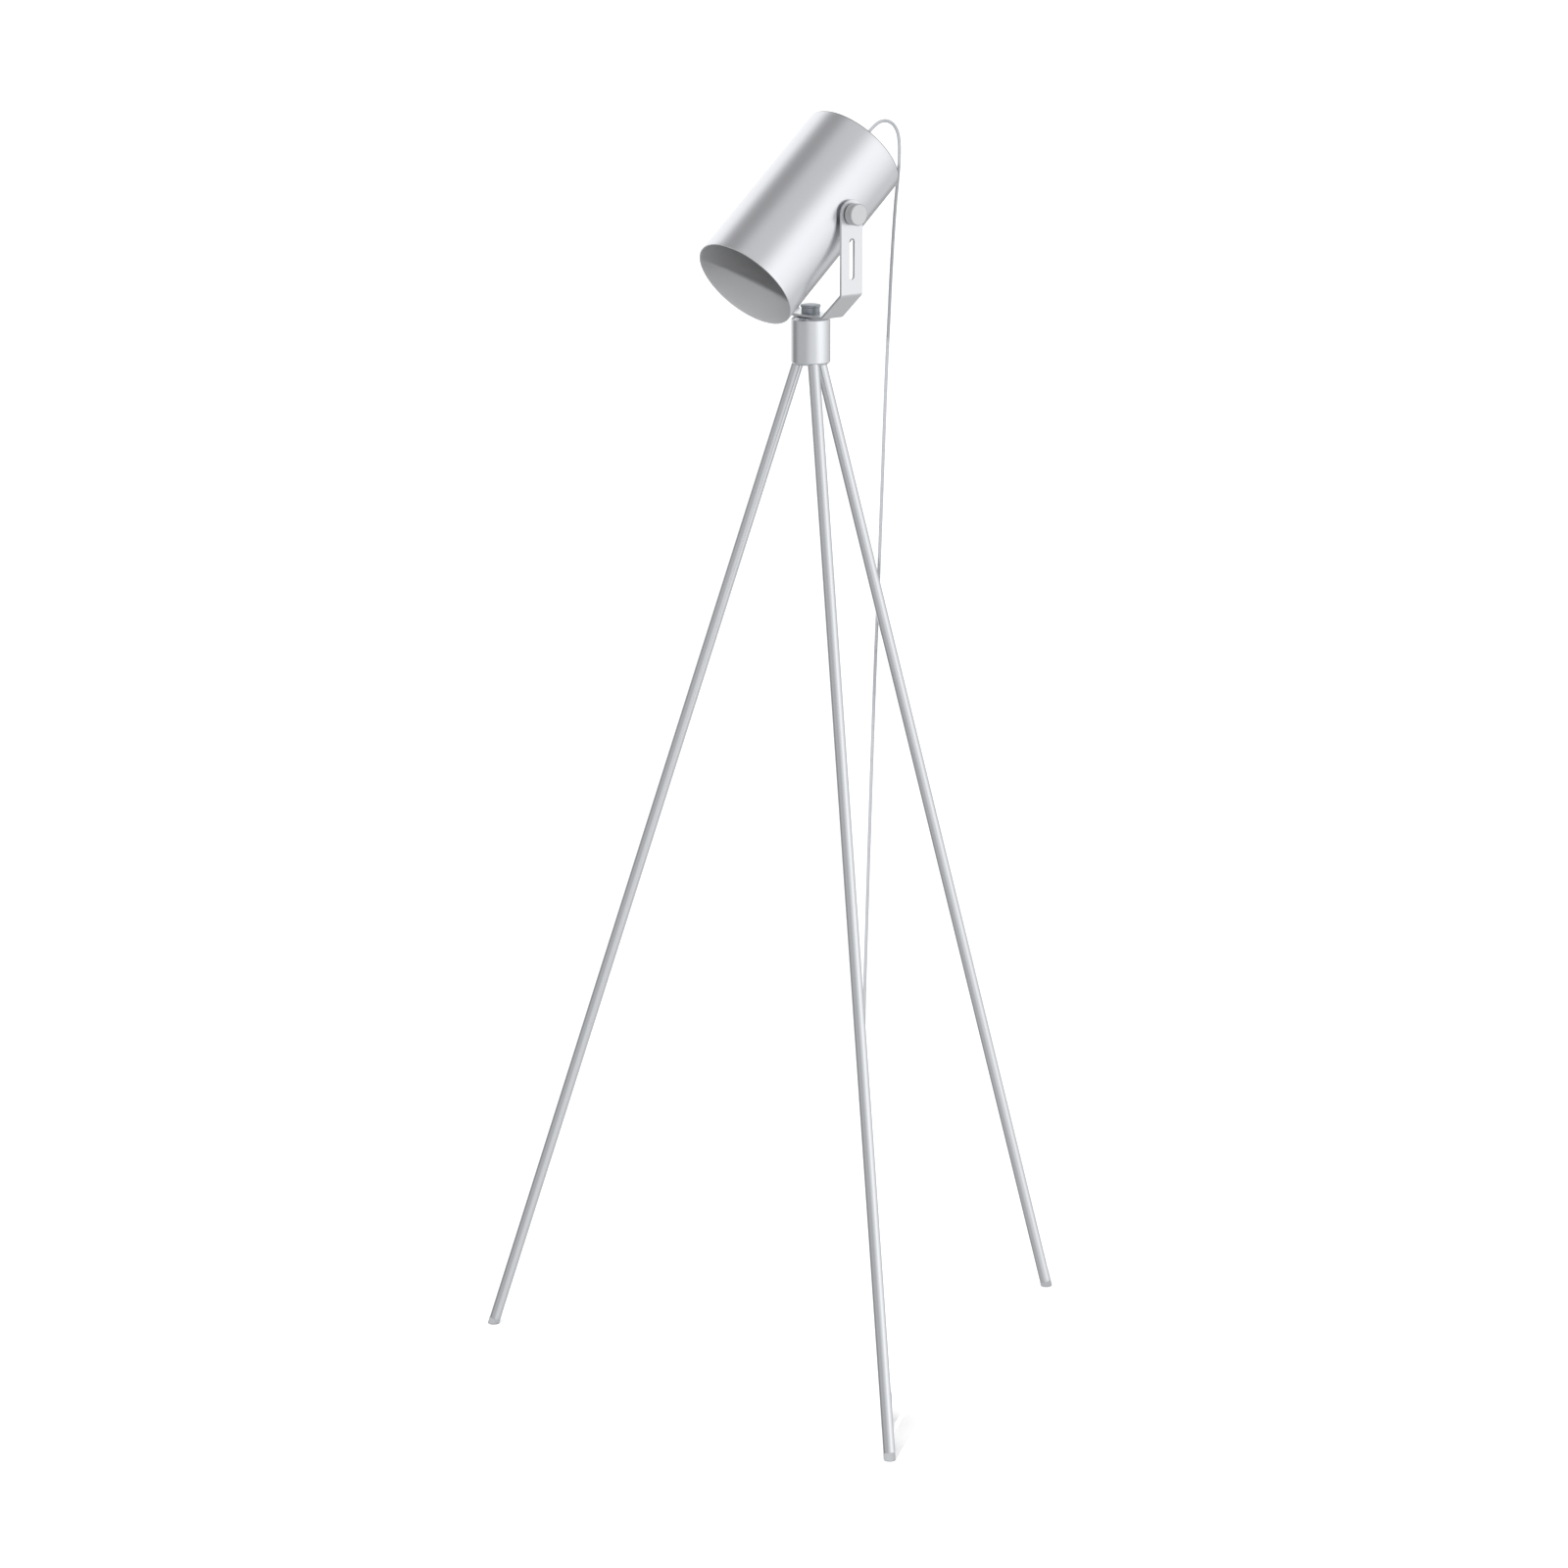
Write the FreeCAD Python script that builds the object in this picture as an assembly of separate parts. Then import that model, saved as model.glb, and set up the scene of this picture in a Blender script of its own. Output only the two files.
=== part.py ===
import FreeCAD, Part
import math
import os

# Tripod floor lamp with one tubular spotlight head, in millimetres.
# The origin is the point of the floor plumb below the hub's axis, with +Z up.
# The head tilts about an axis along X and faces -Y, nose down.

os.makedirs("parts", exist_ok=True)

V = FreeCAD.Vector
X_AXIS = V(1, 0, 0)
Y_AXIS = V(0, 1, 0)
Z_AXIS = V(0, 0, 1)

# ---- driving dimensions ----------------------------------------------------

# tripod
apex_height = 1275.0
foot_circle_radius = 413.0
leg_diameter = 14.0
leg_wall = 1.2
leg_top_gap = 29.0
stud_diameter = 8.0
stud_top_gap = 18.0
stud_plug_length = 22.0
foot_collar_length = 8.0
foot_spigot_length = 20.0
foot_edge_round = 1.0
leg_azimuths = {"rear": 90.0, "left": 210.0, "right": 330.0}

# hub and swivel
hub_diameter = 47.0
hub_height = 56.5
hub_rise = 7.0
hub_chamfer = 3.0
swivel_washer_diameter = 30.0
swivel_washer_thickness = 1.0
swivel_screw_diameter = 8.0
swivel_screw_engagement = 16.0
swivel_knob_diameter = 22.0
swivel_knob_rim_diameter = 24.0
swivel_knob_height = 10.3
swivel_knob_rim_height = 2.6

# bracket of bent strip
strip_width = 34.0
strip_thickness = 3.0
arm_gap = 3.0
shoulder_run = 34.0
shoulder_height = 30.5
pivot_above_base = 126.3
bend_radius = 3.0
slot_width = 8.0
slot_length = 48.5
slot_below_pivot = 52.8

# spotlight head, its pivot on the bracket
tilt_down = 39.5
shade_diameter = 130.0
shade_wall = 1.2
shade_rim_round = 0.35
shade_front_reach = 132.0
shade_rear_reach = 93.0
axis_above_pivot = 5.0
pivot_screw_diameter = 6.0
pivot_screw_depth = 12.0
pivot_spacer_diameter = 24.0
pivot_insert_diameter = 12.0
pivot_insert_depth = 9.0
pivot_washer_diameter = 18.0
pivot_washer_thickness = 0.8
knob_diameter = 26.0
knob_length = 11.5
knob_chamfer = 1.0

# rear cap, switch and cord grip
cap_recess = 1.0
cap_thickness = 1.5
cap_skirt_length = 12.0
vent_width = 3.0
vent_pitch = 7.0
vent_first = 27.0
vent_count = 4
vent_long = 32.0
vent_taper = 5.0
nipple_diameter = 10.0
nipple_bore = 7.0
nipple_inner_reach = 24.0
nipple_outer_reach = 8.0
nipple_nut_diameter = 16.0
nipple_nut_thickness = 3.0
grip_length = 27.0
grip_lead = 16.0
grip_base_diameter = 17.0
grip_base_length = 9.0
grip_tip_diameter = 7.0
switch_above_axis = 32.0
switch_flange_diameter = 23.0
switch_flange_thickness = 2.0
switch_barrel_diameter = 19.8
switch_barrel_depth = 18.0
rocker_width = 8.6
rocker_length = 14.0
rocker_valley = 2.2
rocker_tip = 3.6
rocker_depth = 4.2
rocker_foot_share = 0.7
rocker_throw = 16.0
rocker_pin_diameter = 2.4
rocker_pin_length = 1.6
terminal_length = 6.0
terminal_width = 4.0
terminal_thickness = 0.8
terminal_spread = 5.0
wire_diameter = 1.8
wire_first_run = 5.0
screw_terminal_width = 5.0
screw_terminal_depth = 6.0
screw_terminal_top = 9.0

# lamp holder
holder_diameter = 38.0
holder_body_length = 30.0
holder_cap_length = 18.0
holder_neck_diameter = 16.0
holder_wall = 1.6
holder_ring_diameter = 41.0
holder_ring_length = 8.0
socket_bore = 26.9
socket_shell_wall = 0.7
socket_depth = 22.0
contact_width = 6.0
contact_thickness = 0.6
contact_room = 2.5

# cord, its tie and its plug
cord_diameter = 4.0
hank_half_run = 30.0
hank_inner_radius = 12.0
hank_pitch = 5.0
hank_turns = 3.5
hank_layer_pitch = 4.7
hank_waist_draw = 6.5
hank_stand_off = 0.4
hank_waist_height = 61.0
tie_width = 3.6
tie_thickness = 1.2
tie_mount_width = 8.6
tie_mount_height = 12.0
tie_mount_reach = 6.0
tie_slot_cover = 1.2
plug_width = 35.0
plug_thickness = 12.6
plug_length = 36.0
plug_shoulder = 20.0
plug_neck_width = 13.0
plug_edge_round = 2.5
plug_relief_length = 22.0
plug_relief_base = 8.0
plug_relief_tip = 5.4
plug_pin_diameter = 4.0
plug_pin_length = 19.0
plug_pin_spacing = 18.6
plug_behind_hank = 56.0
hank_azimuth = 137.2

# clearances
thread_clearance = 0.05
running_clearance = 0.06
overcut = 1.0
slip_clearance = 0.1
tie_clearance = 0.35

# The cord's route by hand, from the grip to the hank tied behind the right leg.
loop_route = [
    (-0.2, 115.2, 1505.4), (-0.4, 130.5, 1503.1), (-0.6, 141.6, 1492.4),
    (-0.8, 145.4, 1477.2), (-0.9, 145.4, 1455.0), (-1.2, 142.8, 1429.0),
    (-1.7, 139.3, 1399.0), (-2.5, 137.1, 1362.0),
]
drop_route = [
    (-2.5, 137.1, 1362.0), (-3.38, 134.68, 1321.3), (-4.8, 133.2, 1270.0),
    (-6.8, 130.9, 1205.0), (-9.2, 129.3, 1120.0), (-11.6, 127.4, 1025.0),
    (-12.6, 123.4, 920.0), (-11.6, 117.2, 815.0), (-9.0, 110.2, 710.0),
    (-5.6, 103.0, 610.0), (-1.6, 95.7, 515.0), (2.7, 88.3, 430.0),
    (8.1, 82.5, 358.0), (15.4, 78.5, 300.0), (28.9, 71.0, 248.0),
    (46.8, 59.4, 199.0), (69.4, 42.7, 156.0), (97.7, 20.1, 121.0),
    (129.8, -6.9, 96.0), (164.5, -37.2, 80.0), (201.0, -69.9, 73.5),
    (234.1, -100.4, 76.0), (262.5, -127.3, 84.5),
]

# ---- places worked out from the dimensions ---------------------------------

leg_radius = leg_diameter / 2
leg_bore_radius = leg_radius - leg_wall
leg_lean = math.degrees(math.atan(foot_circle_radius / apex_height))
leg_axis_length = math.hypot(apex_height, foot_circle_radius)
hub_top = apex_height + hub_rise
hub_bottom = hub_top - hub_height
base_underside = hub_top + swivel_washer_thickness
base_top = base_underside + strip_thickness
pivot_height = base_underside + pivot_above_base
shade_radius = shade_diameter / 2
arm_inner = shade_radius + arm_gap
bracket_half_width = arm_inner + strip_thickness
base_half_length = bracket_half_width - shoulder_run
shade_bore_radius = shade_radius - shade_wall
cap_face = shade_rear_reach - cap_recess
cap_inner_face = cap_face - cap_thickness
pivot_hole_radius = pivot_screw_diameter / 2 + running_clearance
cord_radius = cord_diameter / 2


# ---- helpers ---------------------------------------------------------------

def save(name, shape):
    """Writes one sub-part as parts/NAME.step."""
    shape.exportStep("parts/" + name + ".step")
    print(name, "volume %.1f" % shape.Volume, "valid", shape.isValid())


def disc(diameter, length, start=V(0, 0, 0), axis=Z_AXIS):
    return Part.makeCylinder(diameter / 2, length, start, axis)


def cone(diameter_a, diameter_b, length, start, axis):
    return Part.makeCone(diameter_a / 2, diameter_b / 2, length, start, axis)


def centred_box(size_x, size_y, size_z, centre):
    corner = V(centre.x - size_x / 2, centre.y - size_y / 2, centre.z - size_z / 2)
    return Part.makeBox(size_x, size_y, size_z, corner)


def turned(profile, axis):
    """Solid of revolution about Z of (radius, height) points, laid along an axis."""
    points = [V(r, 0, h) for r, h in profile]
    wire = Part.makePolygon(points + [points[0]])
    solid = Part.Face(wire).revolve(V(0, 0, 0), Z_AXIS, 360)
    solid.Placement = FreeCAD.Placement(V(0, 0, 0), FreeCAD.Rotation(Z_AXIS, axis))
    return solid


# ---- tripod ----------------------------------------------------------------

def leg_direction(azimuth):
    """Unit vector down a leg's axis, from the apex to the floor."""
    lean = math.radians(leg_lean)
    turn = math.radians(azimuth)
    return V(math.sin(lean) * math.cos(turn), math.sin(lean) * math.sin(turn), -math.cos(lean))


def along_leg(azimuth, distance):
    return V(0, 0, apex_height) + leg_direction(azimuth) * distance


def leg_cylinder(azimuth, diameter, first, last):
    start = along_leg(azimuth, first)
    return disc(diameter, last - first, start, leg_direction(azimuth))


def foot_collar_top():
    return leg_axis_length - foot_collar_length


def make_leg(azimuth):
    outside = leg_cylinder(azimuth, leg_diameter, leg_top_gap, foot_collar_top())
    bore = leg_cylinder(azimuth, 2 * leg_bore_radius, leg_top_gap - overcut, foot_collar_top() + overcut)
    return outside.cut(bore)


def make_stud(azimuth):
    """Threaded stud with the plug that holds it in the leg's top end."""
    plug_diameter = 2 * leg_bore_radius - 2 * thread_clearance
    plug = leg_cylinder(azimuth, plug_diameter, leg_top_gap, leg_top_gap + stud_plug_length)
    thread = leg_cylinder(azimuth, stud_diameter, stud_top_gap, leg_top_gap)
    return plug.fuse(thread).removeSplitter()


def make_foot(azimuth):
    """Plastic end cap, cut flat where it stands on the floor."""
    top = foot_collar_top()
    collar = leg_cylinder(azimuth, leg_diameter, top, leg_axis_length + leg_diameter)
    spigot_diameter = 2 * leg_bore_radius - 2 * slip_clearance
    spigot = leg_cylinder(azimuth, spigot_diameter, top - foot_spigot_length, top)
    reach = 2 * foot_circle_radius
    below_floor = Part.makeBox(2 * reach, 2 * reach, reach, V(-reach, -reach, -reach))
    collar = collar.cut(below_floor)
    sole = [e for e in collar.Edges if max(abs(v.Z) for v in e.Vertexes) < 0.01]
    collar = collar.makeFillet(foot_edge_round, sole)
    return collar.fuse(spigot).removeSplitter()


def make_hub():
    radius = hub_diameter / 2
    profile = [
        (0, hub_bottom), (radius - hub_chamfer, hub_bottom),
        (radius, hub_bottom + hub_chamfer), (radius, hub_top - hub_chamfer),
        (radius - hub_chamfer, hub_top), (0, hub_top),
    ]
    hub = turned(profile, Z_AXIS)
    for azimuth in leg_azimuths.values():
        socket_diameter = leg_diameter + 2 * thread_clearance
        socket = leg_cylinder(azimuth, socket_diameter, leg_top_gap, 2 * hub_height)
        thread_bore = stud_diameter + 2 * thread_clearance
        bore = leg_cylinder(azimuth, thread_bore, stud_top_gap - overcut / 2, leg_top_gap + overcut)
        hub = hub.cut(socket).cut(bore)
    centre_bore = swivel_screw_diameter + 2 * running_clearance
    start = V(0, 0, hub_top - swivel_screw_engagement - overcut)
    return hub.cut(disc(centre_bore, swivel_screw_engagement + 2 * overcut, start))


# ---- swivel ----------------------------------------------------------------

def make_swivel_washer():
    ring = disc(swivel_washer_diameter, swivel_washer_thickness, V(0, 0, hub_top))
    bore = swivel_screw_diameter + 4 * slip_clearance
    return ring.cut(disc(bore, 3 * swivel_washer_thickness, V(0, 0, hub_top - overcut)))


def make_swivel_knob():
    """Round head with a slightly wider, rounded rim at its top."""
    body_radius = swivel_knob_diameter / 2
    rim_radius = swivel_knob_rim_diameter / 2
    top = base_top + swivel_knob_height
    rim_foot = top - swivel_knob_rim_height
    edge = (rim_radius - body_radius) * 0.8
    profile = [
        (0, base_top), (body_radius, base_top), (body_radius, rim_foot - edge),
        (rim_radius, rim_foot), (rim_radius, top - edge), (rim_radius - edge, top), (0, top),
    ]
    return turned(profile, Z_AXIS)


def make_swivel_screw():
    bottom = hub_top - swivel_screw_engagement
    return disc(swivel_screw_diameter, base_top - bottom, V(0, 0, bottom))


# ---- bracket ---------------------------------------------------------------

def bracket_outline(inset):
    """Half outline of the strip, from the middle of the base to the pivot's height."""
    rise = shoulder_height
    slope = math.atan2(rise, shoulder_run)
    low_shift = inset * math.tan(slope / 2)
    high_shift = inset * math.tan((math.pi / 2 - slope) / 2)
    corner = V(base_half_length - low_shift, 0, base_underside + inset)
    shoulder = V(bracket_half_width - inset, 0, base_underside + rise + high_shift)
    top = V(bracket_half_width - inset, 0, pivot_height)
    return [V(0, 0, base_underside + inset), corner, shoulder, top]


def mirrored_x(shape):
    return shape.mirror(V(0, 0, 0), X_AXIS)


def make_bracket():
    outer = bracket_outline(0)
    inner = bracket_outline(strip_thickness)
    loop = outer + inner[::-1]
    face = Part.Face(Part.makePolygon(loop + [loop[0]]))
    half = face.extrude(V(0, strip_width, 0))
    half.translate(V(0, -strip_width / 2, 0))
    corners = [inner[1], inner[2]]
    inner_edges = [e for e in half.Edges if at_corner(e, corners)]
    half = half.makeFillet(bend_radius, inner_edges)
    corners = [outer[1], outer[2]]
    outer_edges = [e for e in half.Edges if at_corner(e, corners)]
    half = half.makeFillet(bend_radius + strip_thickness, outer_edges)
    eye = disc(strip_width, strip_thickness, V(arm_inner, 0, pivot_height), X_AXIS)
    half = half.fuse(eye).removeSplitter()
    half = half.cut(arm_slot())
    hole_start = V(arm_inner - overcut, 0, pivot_height)
    hole_length = strip_thickness + 2 * overcut
    half = half.cut(disc(2 * pivot_hole_radius, hole_length, hole_start, X_AXIS))
    strip = half.fuse(mirrored_x(half)).removeSplitter()
    bore = swivel_screw_diameter + 2 * running_clearance
    return strip.cut(disc(bore, hole_length, V(0, 0, base_underside - overcut)))


def at_corner(edge, corners):
    """True for an edge along Y that stands on one of the corners of the outline."""
    if len(edge.Vertexes) != 2:
        return False
    ends = [v.Point for v in edge.Vertexes]
    for corner in corners:
        near = [math.hypot(p.x - corner.x, p.z - corner.z) < 0.01 for p in ends]
        if all(near):
            return True
    return False


def arm_slot():
    """Long hole down the arm, with round ends."""
    middle = pivot_height - slot_below_pivot
    straight = slot_length - slot_width
    depth = strip_thickness + 2 * overcut
    start = arm_inner - overcut
    slot = centred_box(depth, slot_width, straight, V(start + depth / 2, 0, middle))
    for side in (-1, 1):
        end = V(start, 0, middle + side * straight / 2)
        slot = slot.fuse(disc(slot_width, depth, end, X_AXIS))
    return slot.removeSplitter()


# ---- spotlight head --------------------------------------------------------
# Head parts are drawn level, about the pivot, nose towards -Y, then tilted.

def head_place(shape):
    shape = shape.copy()
    shape.rotate(V(0, 0, 0), X_AXIS, tilt_down)
    shape.translate(V(0, 0, pivot_height))
    return shape


def head_vector(point):
    """A point of the level head drawing, tilted and lifted into its place."""
    turned_point = FreeCAD.Rotation(X_AXIS, tilt_down).multVec(point)
    return turned_point + V(0, 0, pivot_height)


def grip_end():
    return head_vector(on_shade_axis(cap_face + grip_length))


def side_place(shape, side):
    return shape if side > 0 else mirrored_x(shape)


def on_shade_axis(y, x=0.0, up=0.0):
    return V(x, y, axis_above_pivot + up)


def make_shade():
    length = shade_front_reach + shade_rear_reach
    start = on_shade_axis(-shade_front_reach)
    tube = disc(shade_diameter, length, start, Y_AXIS)
    bore_start = on_shade_axis(-shade_front_reach - overcut)
    bore_length = length + 2 * overcut
    tube = tube.cut(disc(2 * shade_bore_radius, bore_length, bore_start, Y_AXIS))
    rims = [e for e in tube.Edges if e.Closed and abs(e.Curve.Radius - shade_radius) < 0.01]
    tube = tube.makeFillet(shade_rim_round * shade_wall, rims)
    hole = disc(2 * pivot_hole_radius, 4 * shade_radius, V(-2 * shade_radius, 0, 0), X_AXIS)
    return head_place(tube.cut(hole))


def vent_slot(x, height):
    depth = cap_thickness + 2 * overcut
    middle = on_shade_axis(cap_inner_face - overcut + depth / 2, x)
    slot = centred_box(vent_width, depth, height - vent_width, middle)
    for side in (-1, 1):
        end = on_shade_axis(cap_inner_face - overcut, x, side * (height - vent_width) / 2)
        slot = slot.fuse(disc(vent_width, depth, end, Y_AXIS))
    return slot


def make_rear_cap():
    radius = shade_bore_radius - thread_clearance
    plate = disc(2 * radius, cap_thickness, on_shade_axis(cap_inner_face), Y_AXIS)
    skirt_start = on_shade_axis(cap_face - cap_skirt_length)
    skirt = disc(2 * radius, cap_skirt_length, skirt_start, Y_AXIS)
    skirt_bore = disc(2 * (radius - cap_thickness), cap_skirt_length, skirt_start, Y_AXIS)
    cap = plate.fuse(skirt.cut(skirt_bore)).removeSplitter()
    hole_start = on_shade_axis(cap_inner_face - overcut)
    hole_length = cap_thickness + 2 * overcut
    nipple_hole = nipple_diameter + 2 * slip_clearance
    cap = cap.cut(disc(nipple_hole, hole_length, hole_start, Y_AXIS))
    switch_start = on_shade_axis(cap_inner_face - overcut, 0, switch_above_axis)
    switch_hole = switch_barrel_diameter + 2 * slip_clearance
    cap = cap.cut(disc(switch_hole, hole_length, switch_start, Y_AXIS))
    for side in (-1, 1):
        for i in range(vent_count):
            x = side * (vent_first + i * vent_pitch)
            cap = cap.cut(vent_slot(x, vent_long - i * vent_taper))
    return head_place(cap)


def make_nipple():
    length = nipple_inner_reach + cap_thickness + nipple_outer_reach
    start = on_shade_axis(cap_inner_face - nipple_inner_reach)
    tube = disc(nipple_diameter, length, start, Y_AXIS)
    return head_place(tube.cut(disc(nipple_bore, length, start, Y_AXIS)))


def make_nipple_nut():
    start = on_shade_axis(cap_inner_face - nipple_nut_thickness)
    corners = []
    for i in range(6):
        turn = math.radians(60 * i)
        corner = V(math.cos(turn), 0, math.sin(turn)) * (nipple_nut_diameter / 2)
        corners.append(start + corner)
    face = Part.Face(Part.makePolygon(corners + [corners[0]]))
    nut = face.extrude(Y_AXIS * nipple_nut_thickness)
    bore = nipple_diameter + 2 * thread_clearance
    return head_place(nut.cut(disc(bore, nipple_nut_thickness, start, Y_AXIS)))


def make_cord_grip():
    """Tapered strain relief, screwed on the nipple's outer end."""
    start = on_shade_axis(cap_face)
    base = disc(grip_base_diameter, grip_base_length, start, Y_AXIS)
    taper_start = on_shade_axis(cap_face + grip_base_length)
    taper_length = grip_length - grip_base_length
    taper_base = grip_base_diameter * 0.75
    grip = base.fuse(cone(taper_base, grip_tip_diameter, taper_length, taper_start, Y_AXIS))
    bore = nipple_diameter + 2 * thread_clearance
    seat = disc(bore, nipple_outer_reach + slip_clearance, start, Y_AXIS)
    return head_place(grip.cut(seat))


def make_spacer(side):
    """Friction ring between the shade's side and the arm, shaped to the shade."""
    ring = disc(pivot_spacer_diameter, arm_inner, V(0, 0, 0), X_AXIS)
    ring = ring.cut(disc(2 * pivot_hole_radius, arm_inner, V(0, 0, 0), X_AXIS))
    reach = 4 * pivot_spacer_diameter
    shade_start = on_shade_axis(-reach / 2)
    ring = ring.cut(disc(shade_diameter, reach, shade_start, Y_AXIS))
    return head_place(side_place(ring, side))


def make_insert(side):
    """Threaded boss inside the shade that the side screw is driven into."""
    start = shade_bore_radius - pivot_insert_depth
    boss_length = pivot_insert_depth + 2 * overcut
    boss = disc(pivot_insert_diameter, boss_length, V(start, 0, 0), X_AXIS)
    reach = 4 * pivot_insert_diameter
    inside = disc(2 * shade_bore_radius, reach, on_shade_axis(-reach / 2), Y_AXIS)
    boss = boss.common(inside)
    bore = pivot_screw_diameter + 2 * running_clearance
    bore_start = V(start - overcut, 0, 0)
    boss = boss.cut(disc(bore, boss_length + 2 * overcut, bore_start, X_AXIS))
    return head_place(side_place(boss, side))


# ---- side screws and knobs -------------------------------------------------

def make_side_washer(side):
    start = V(bracket_half_width, 0, pivot_height)
    ring = disc(pivot_washer_diameter, pivot_washer_thickness, start, X_AXIS)
    bore = pivot_screw_diameter + 4 * slip_clearance
    ring = ring.cut(disc(bore, pivot_washer_thickness, start, X_AXIS))
    return side_place(ring, side)


def make_side_screw(side):
    tip = bracket_half_width - pivot_screw_depth
    knob_back = bracket_half_width + pivot_washer_thickness
    start = V(tip, 0, pivot_height)
    return side_place(disc(pivot_screw_diameter, knob_back - tip, start, X_AXIS), side)


def make_side_knob(side):
    radius = knob_diameter / 2
    back = bracket_half_width + pivot_washer_thickness
    profile = [
        (0, back), (radius - knob_chamfer / 2, back), (radius, back + knob_chamfer / 2),
        (radius, back + knob_length - knob_chamfer),
        (radius - knob_chamfer, back + knob_length), (0, back + knob_length),
    ]
    knob = turned(profile, X_AXIS)
    knob.translate(V(0, 0, pivot_height))
    return side_place(knob, side)


# ---- lamp holder -----------------------------------------------------------

def holder_rear():
    return cap_inner_face - nipple_inner_reach + slip_clearance


def holder_body_rear():
    return holder_rear() - holder_cap_length + nipple_outer_reach


def wire_entry():
    """Where the leads run down into the holder, along the shade's axis."""
    return holder_body_rear() + screw_terminal_depth / 2


def socket_floor():
    """Bottom of the screw socket, where the centre contact lies."""
    return holder_body_rear() - holder_body_length + socket_depth


def make_holder_cap():
    """Hollow cone that screws on the nipple and carries the holder's body."""
    base = holder_body_rear()
    length = holder_cap_length
    shell = cone(holder_diameter, holder_neck_diameter, length, on_shade_axis(base), Y_AXIS)
    wide = holder_diameter - 2 * holder_wall
    narrow = holder_neck_diameter - 2 * holder_wall
    hollow_length = length - 2 * holder_wall
    shell = shell.cut(cone(wide, narrow, hollow_length, on_shade_axis(base), Y_AXIS))
    bore = nipple_diameter + 2 * thread_clearance
    shell = shell.cut(disc(bore, length + overcut, on_shade_axis(base), Y_AXIS))
    for side in (-1, 1):
        entry = on_shade_axis(wire_entry(), side * terminal_spread)
        hole = wire_diameter + 6 * slip_clearance
        shell = shell.cut(disc(hole, holder_diameter, entry, Z_AXIS))
    return head_place(shell)


def make_holder_body():
    rear = holder_body_rear()
    start = on_shade_axis(rear - holder_body_length)
    body = disc(holder_diameter, holder_body_length, start, Y_AXIS)
    ring = disc(holder_ring_diameter, holder_ring_length, start, Y_AXIS)
    body = body.fuse(ring).removeSplitter()
    bore = socket_bore + 2 * socket_shell_wall + 2 * thread_clearance
    return head_place(body.cut(disc(bore, socket_depth, start, Y_AXIS)))


def make_socket_shell():
    """Screw shell, drawn plain, with its wall halved round the contact."""
    outside = socket_bore + 2 * socket_shell_wall
    length = socket_depth - 1
    start = on_shade_axis(socket_floor() - length)
    shell = disc(outside, length, start, Y_AXIS)
    shell = shell.cut(disc(socket_bore, length, start, Y_AXIS))
    wide = socket_bore + socket_shell_wall
    seat = on_shade_axis(socket_floor() - contact_room)
    return head_place(shell.cut(disc(wide, contact_room, seat, Y_AXIS)))


def make_screw_terminals():
    """Two brass blocks on the back of the holder's body, inside its cap."""
    blocks = []
    for side in (-1, 1):
        up = screw_terminal_top - screw_terminal_width / 2
        middle = on_shade_axis(wire_entry(), side * terminal_spread, up)
        depth = screw_terminal_depth
        width = screw_terminal_width
        blocks.append(centred_box(width, depth, width, middle))
    return head_place(Part.makeCompound(blocks))


def make_centre_contact():
    """Sprung tongue, bent forward off the socket's floor."""
    floor = socket_floor()
    half = socket_bore / 4
    lift = 2 * contact_thickness
    outline = [
        on_shade_axis(floor, 0, -half), on_shade_axis(floor, 0, 0),
        on_shade_axis(floor - lift, 0, half),
        on_shade_axis(floor - lift - contact_thickness, 0, half),
        on_shade_axis(floor - contact_thickness, 0, 0),
        on_shade_axis(floor - contact_thickness, 0, -half),
    ]
    face = Part.Face(Part.makePolygon(outline + [outline[0]]))
    tongue = face.extrude(V(contact_width, 0, 0))
    tongue.translate(V(-contact_width / 2, 0, 0))
    return head_place(tongue)


# ---- switch and its wires --------------------------------------------------

def rocker_pivot():
    return on_shade_axis(cap_face + rocker_valley / 4, 0, switch_above_axis)


def rocker_pocket_length():
    corner = math.hypot(rocker_length / 2, rocker_tip)
    return 2 * (corner + 4 * slip_clearance)


def make_switch_body():
    flange_start = on_shade_axis(cap_face, 0, switch_above_axis)
    body = disc(switch_flange_diameter, switch_flange_thickness, flange_start, Y_AXIS)
    barrel_start = on_shade_axis(cap_face - switch_barrel_depth, 0, switch_above_axis)
    barrel = disc(switch_barrel_diameter, switch_barrel_depth, barrel_start, Y_AXIS)
    body = body.fuse(barrel).removeSplitter()
    depth = rocker_depth + 2 * rocker_tip
    pocket_width = rocker_width + 4 * slip_clearance
    centre = rocker_pivot() + V(0, switch_flange_thickness - rocker_depth / 2, 0)
    body = body.cut(centred_box(pocket_width, depth, rocker_pocket_length(), centre))
    hole = rocker_pin_diameter + 2 * running_clearance
    reach = rocker_width + 2 * rocker_pin_length + 2 * overcut
    start = rocker_pivot() - V(reach / 2, 0, 0)
    body = body.cut(disc(hole, reach, start, X_AXIS))
    for side in (-1, 1):
        blade = on_shade_axis(cap_face - switch_barrel_depth - terminal_length / 2)
        blade = blade + V(side * terminal_spread, 0, switch_above_axis)
        size = (terminal_thickness, terminal_length, terminal_width)
        body = body.fuse(centred_box(*size, blade))
    return head_place(body)


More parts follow.
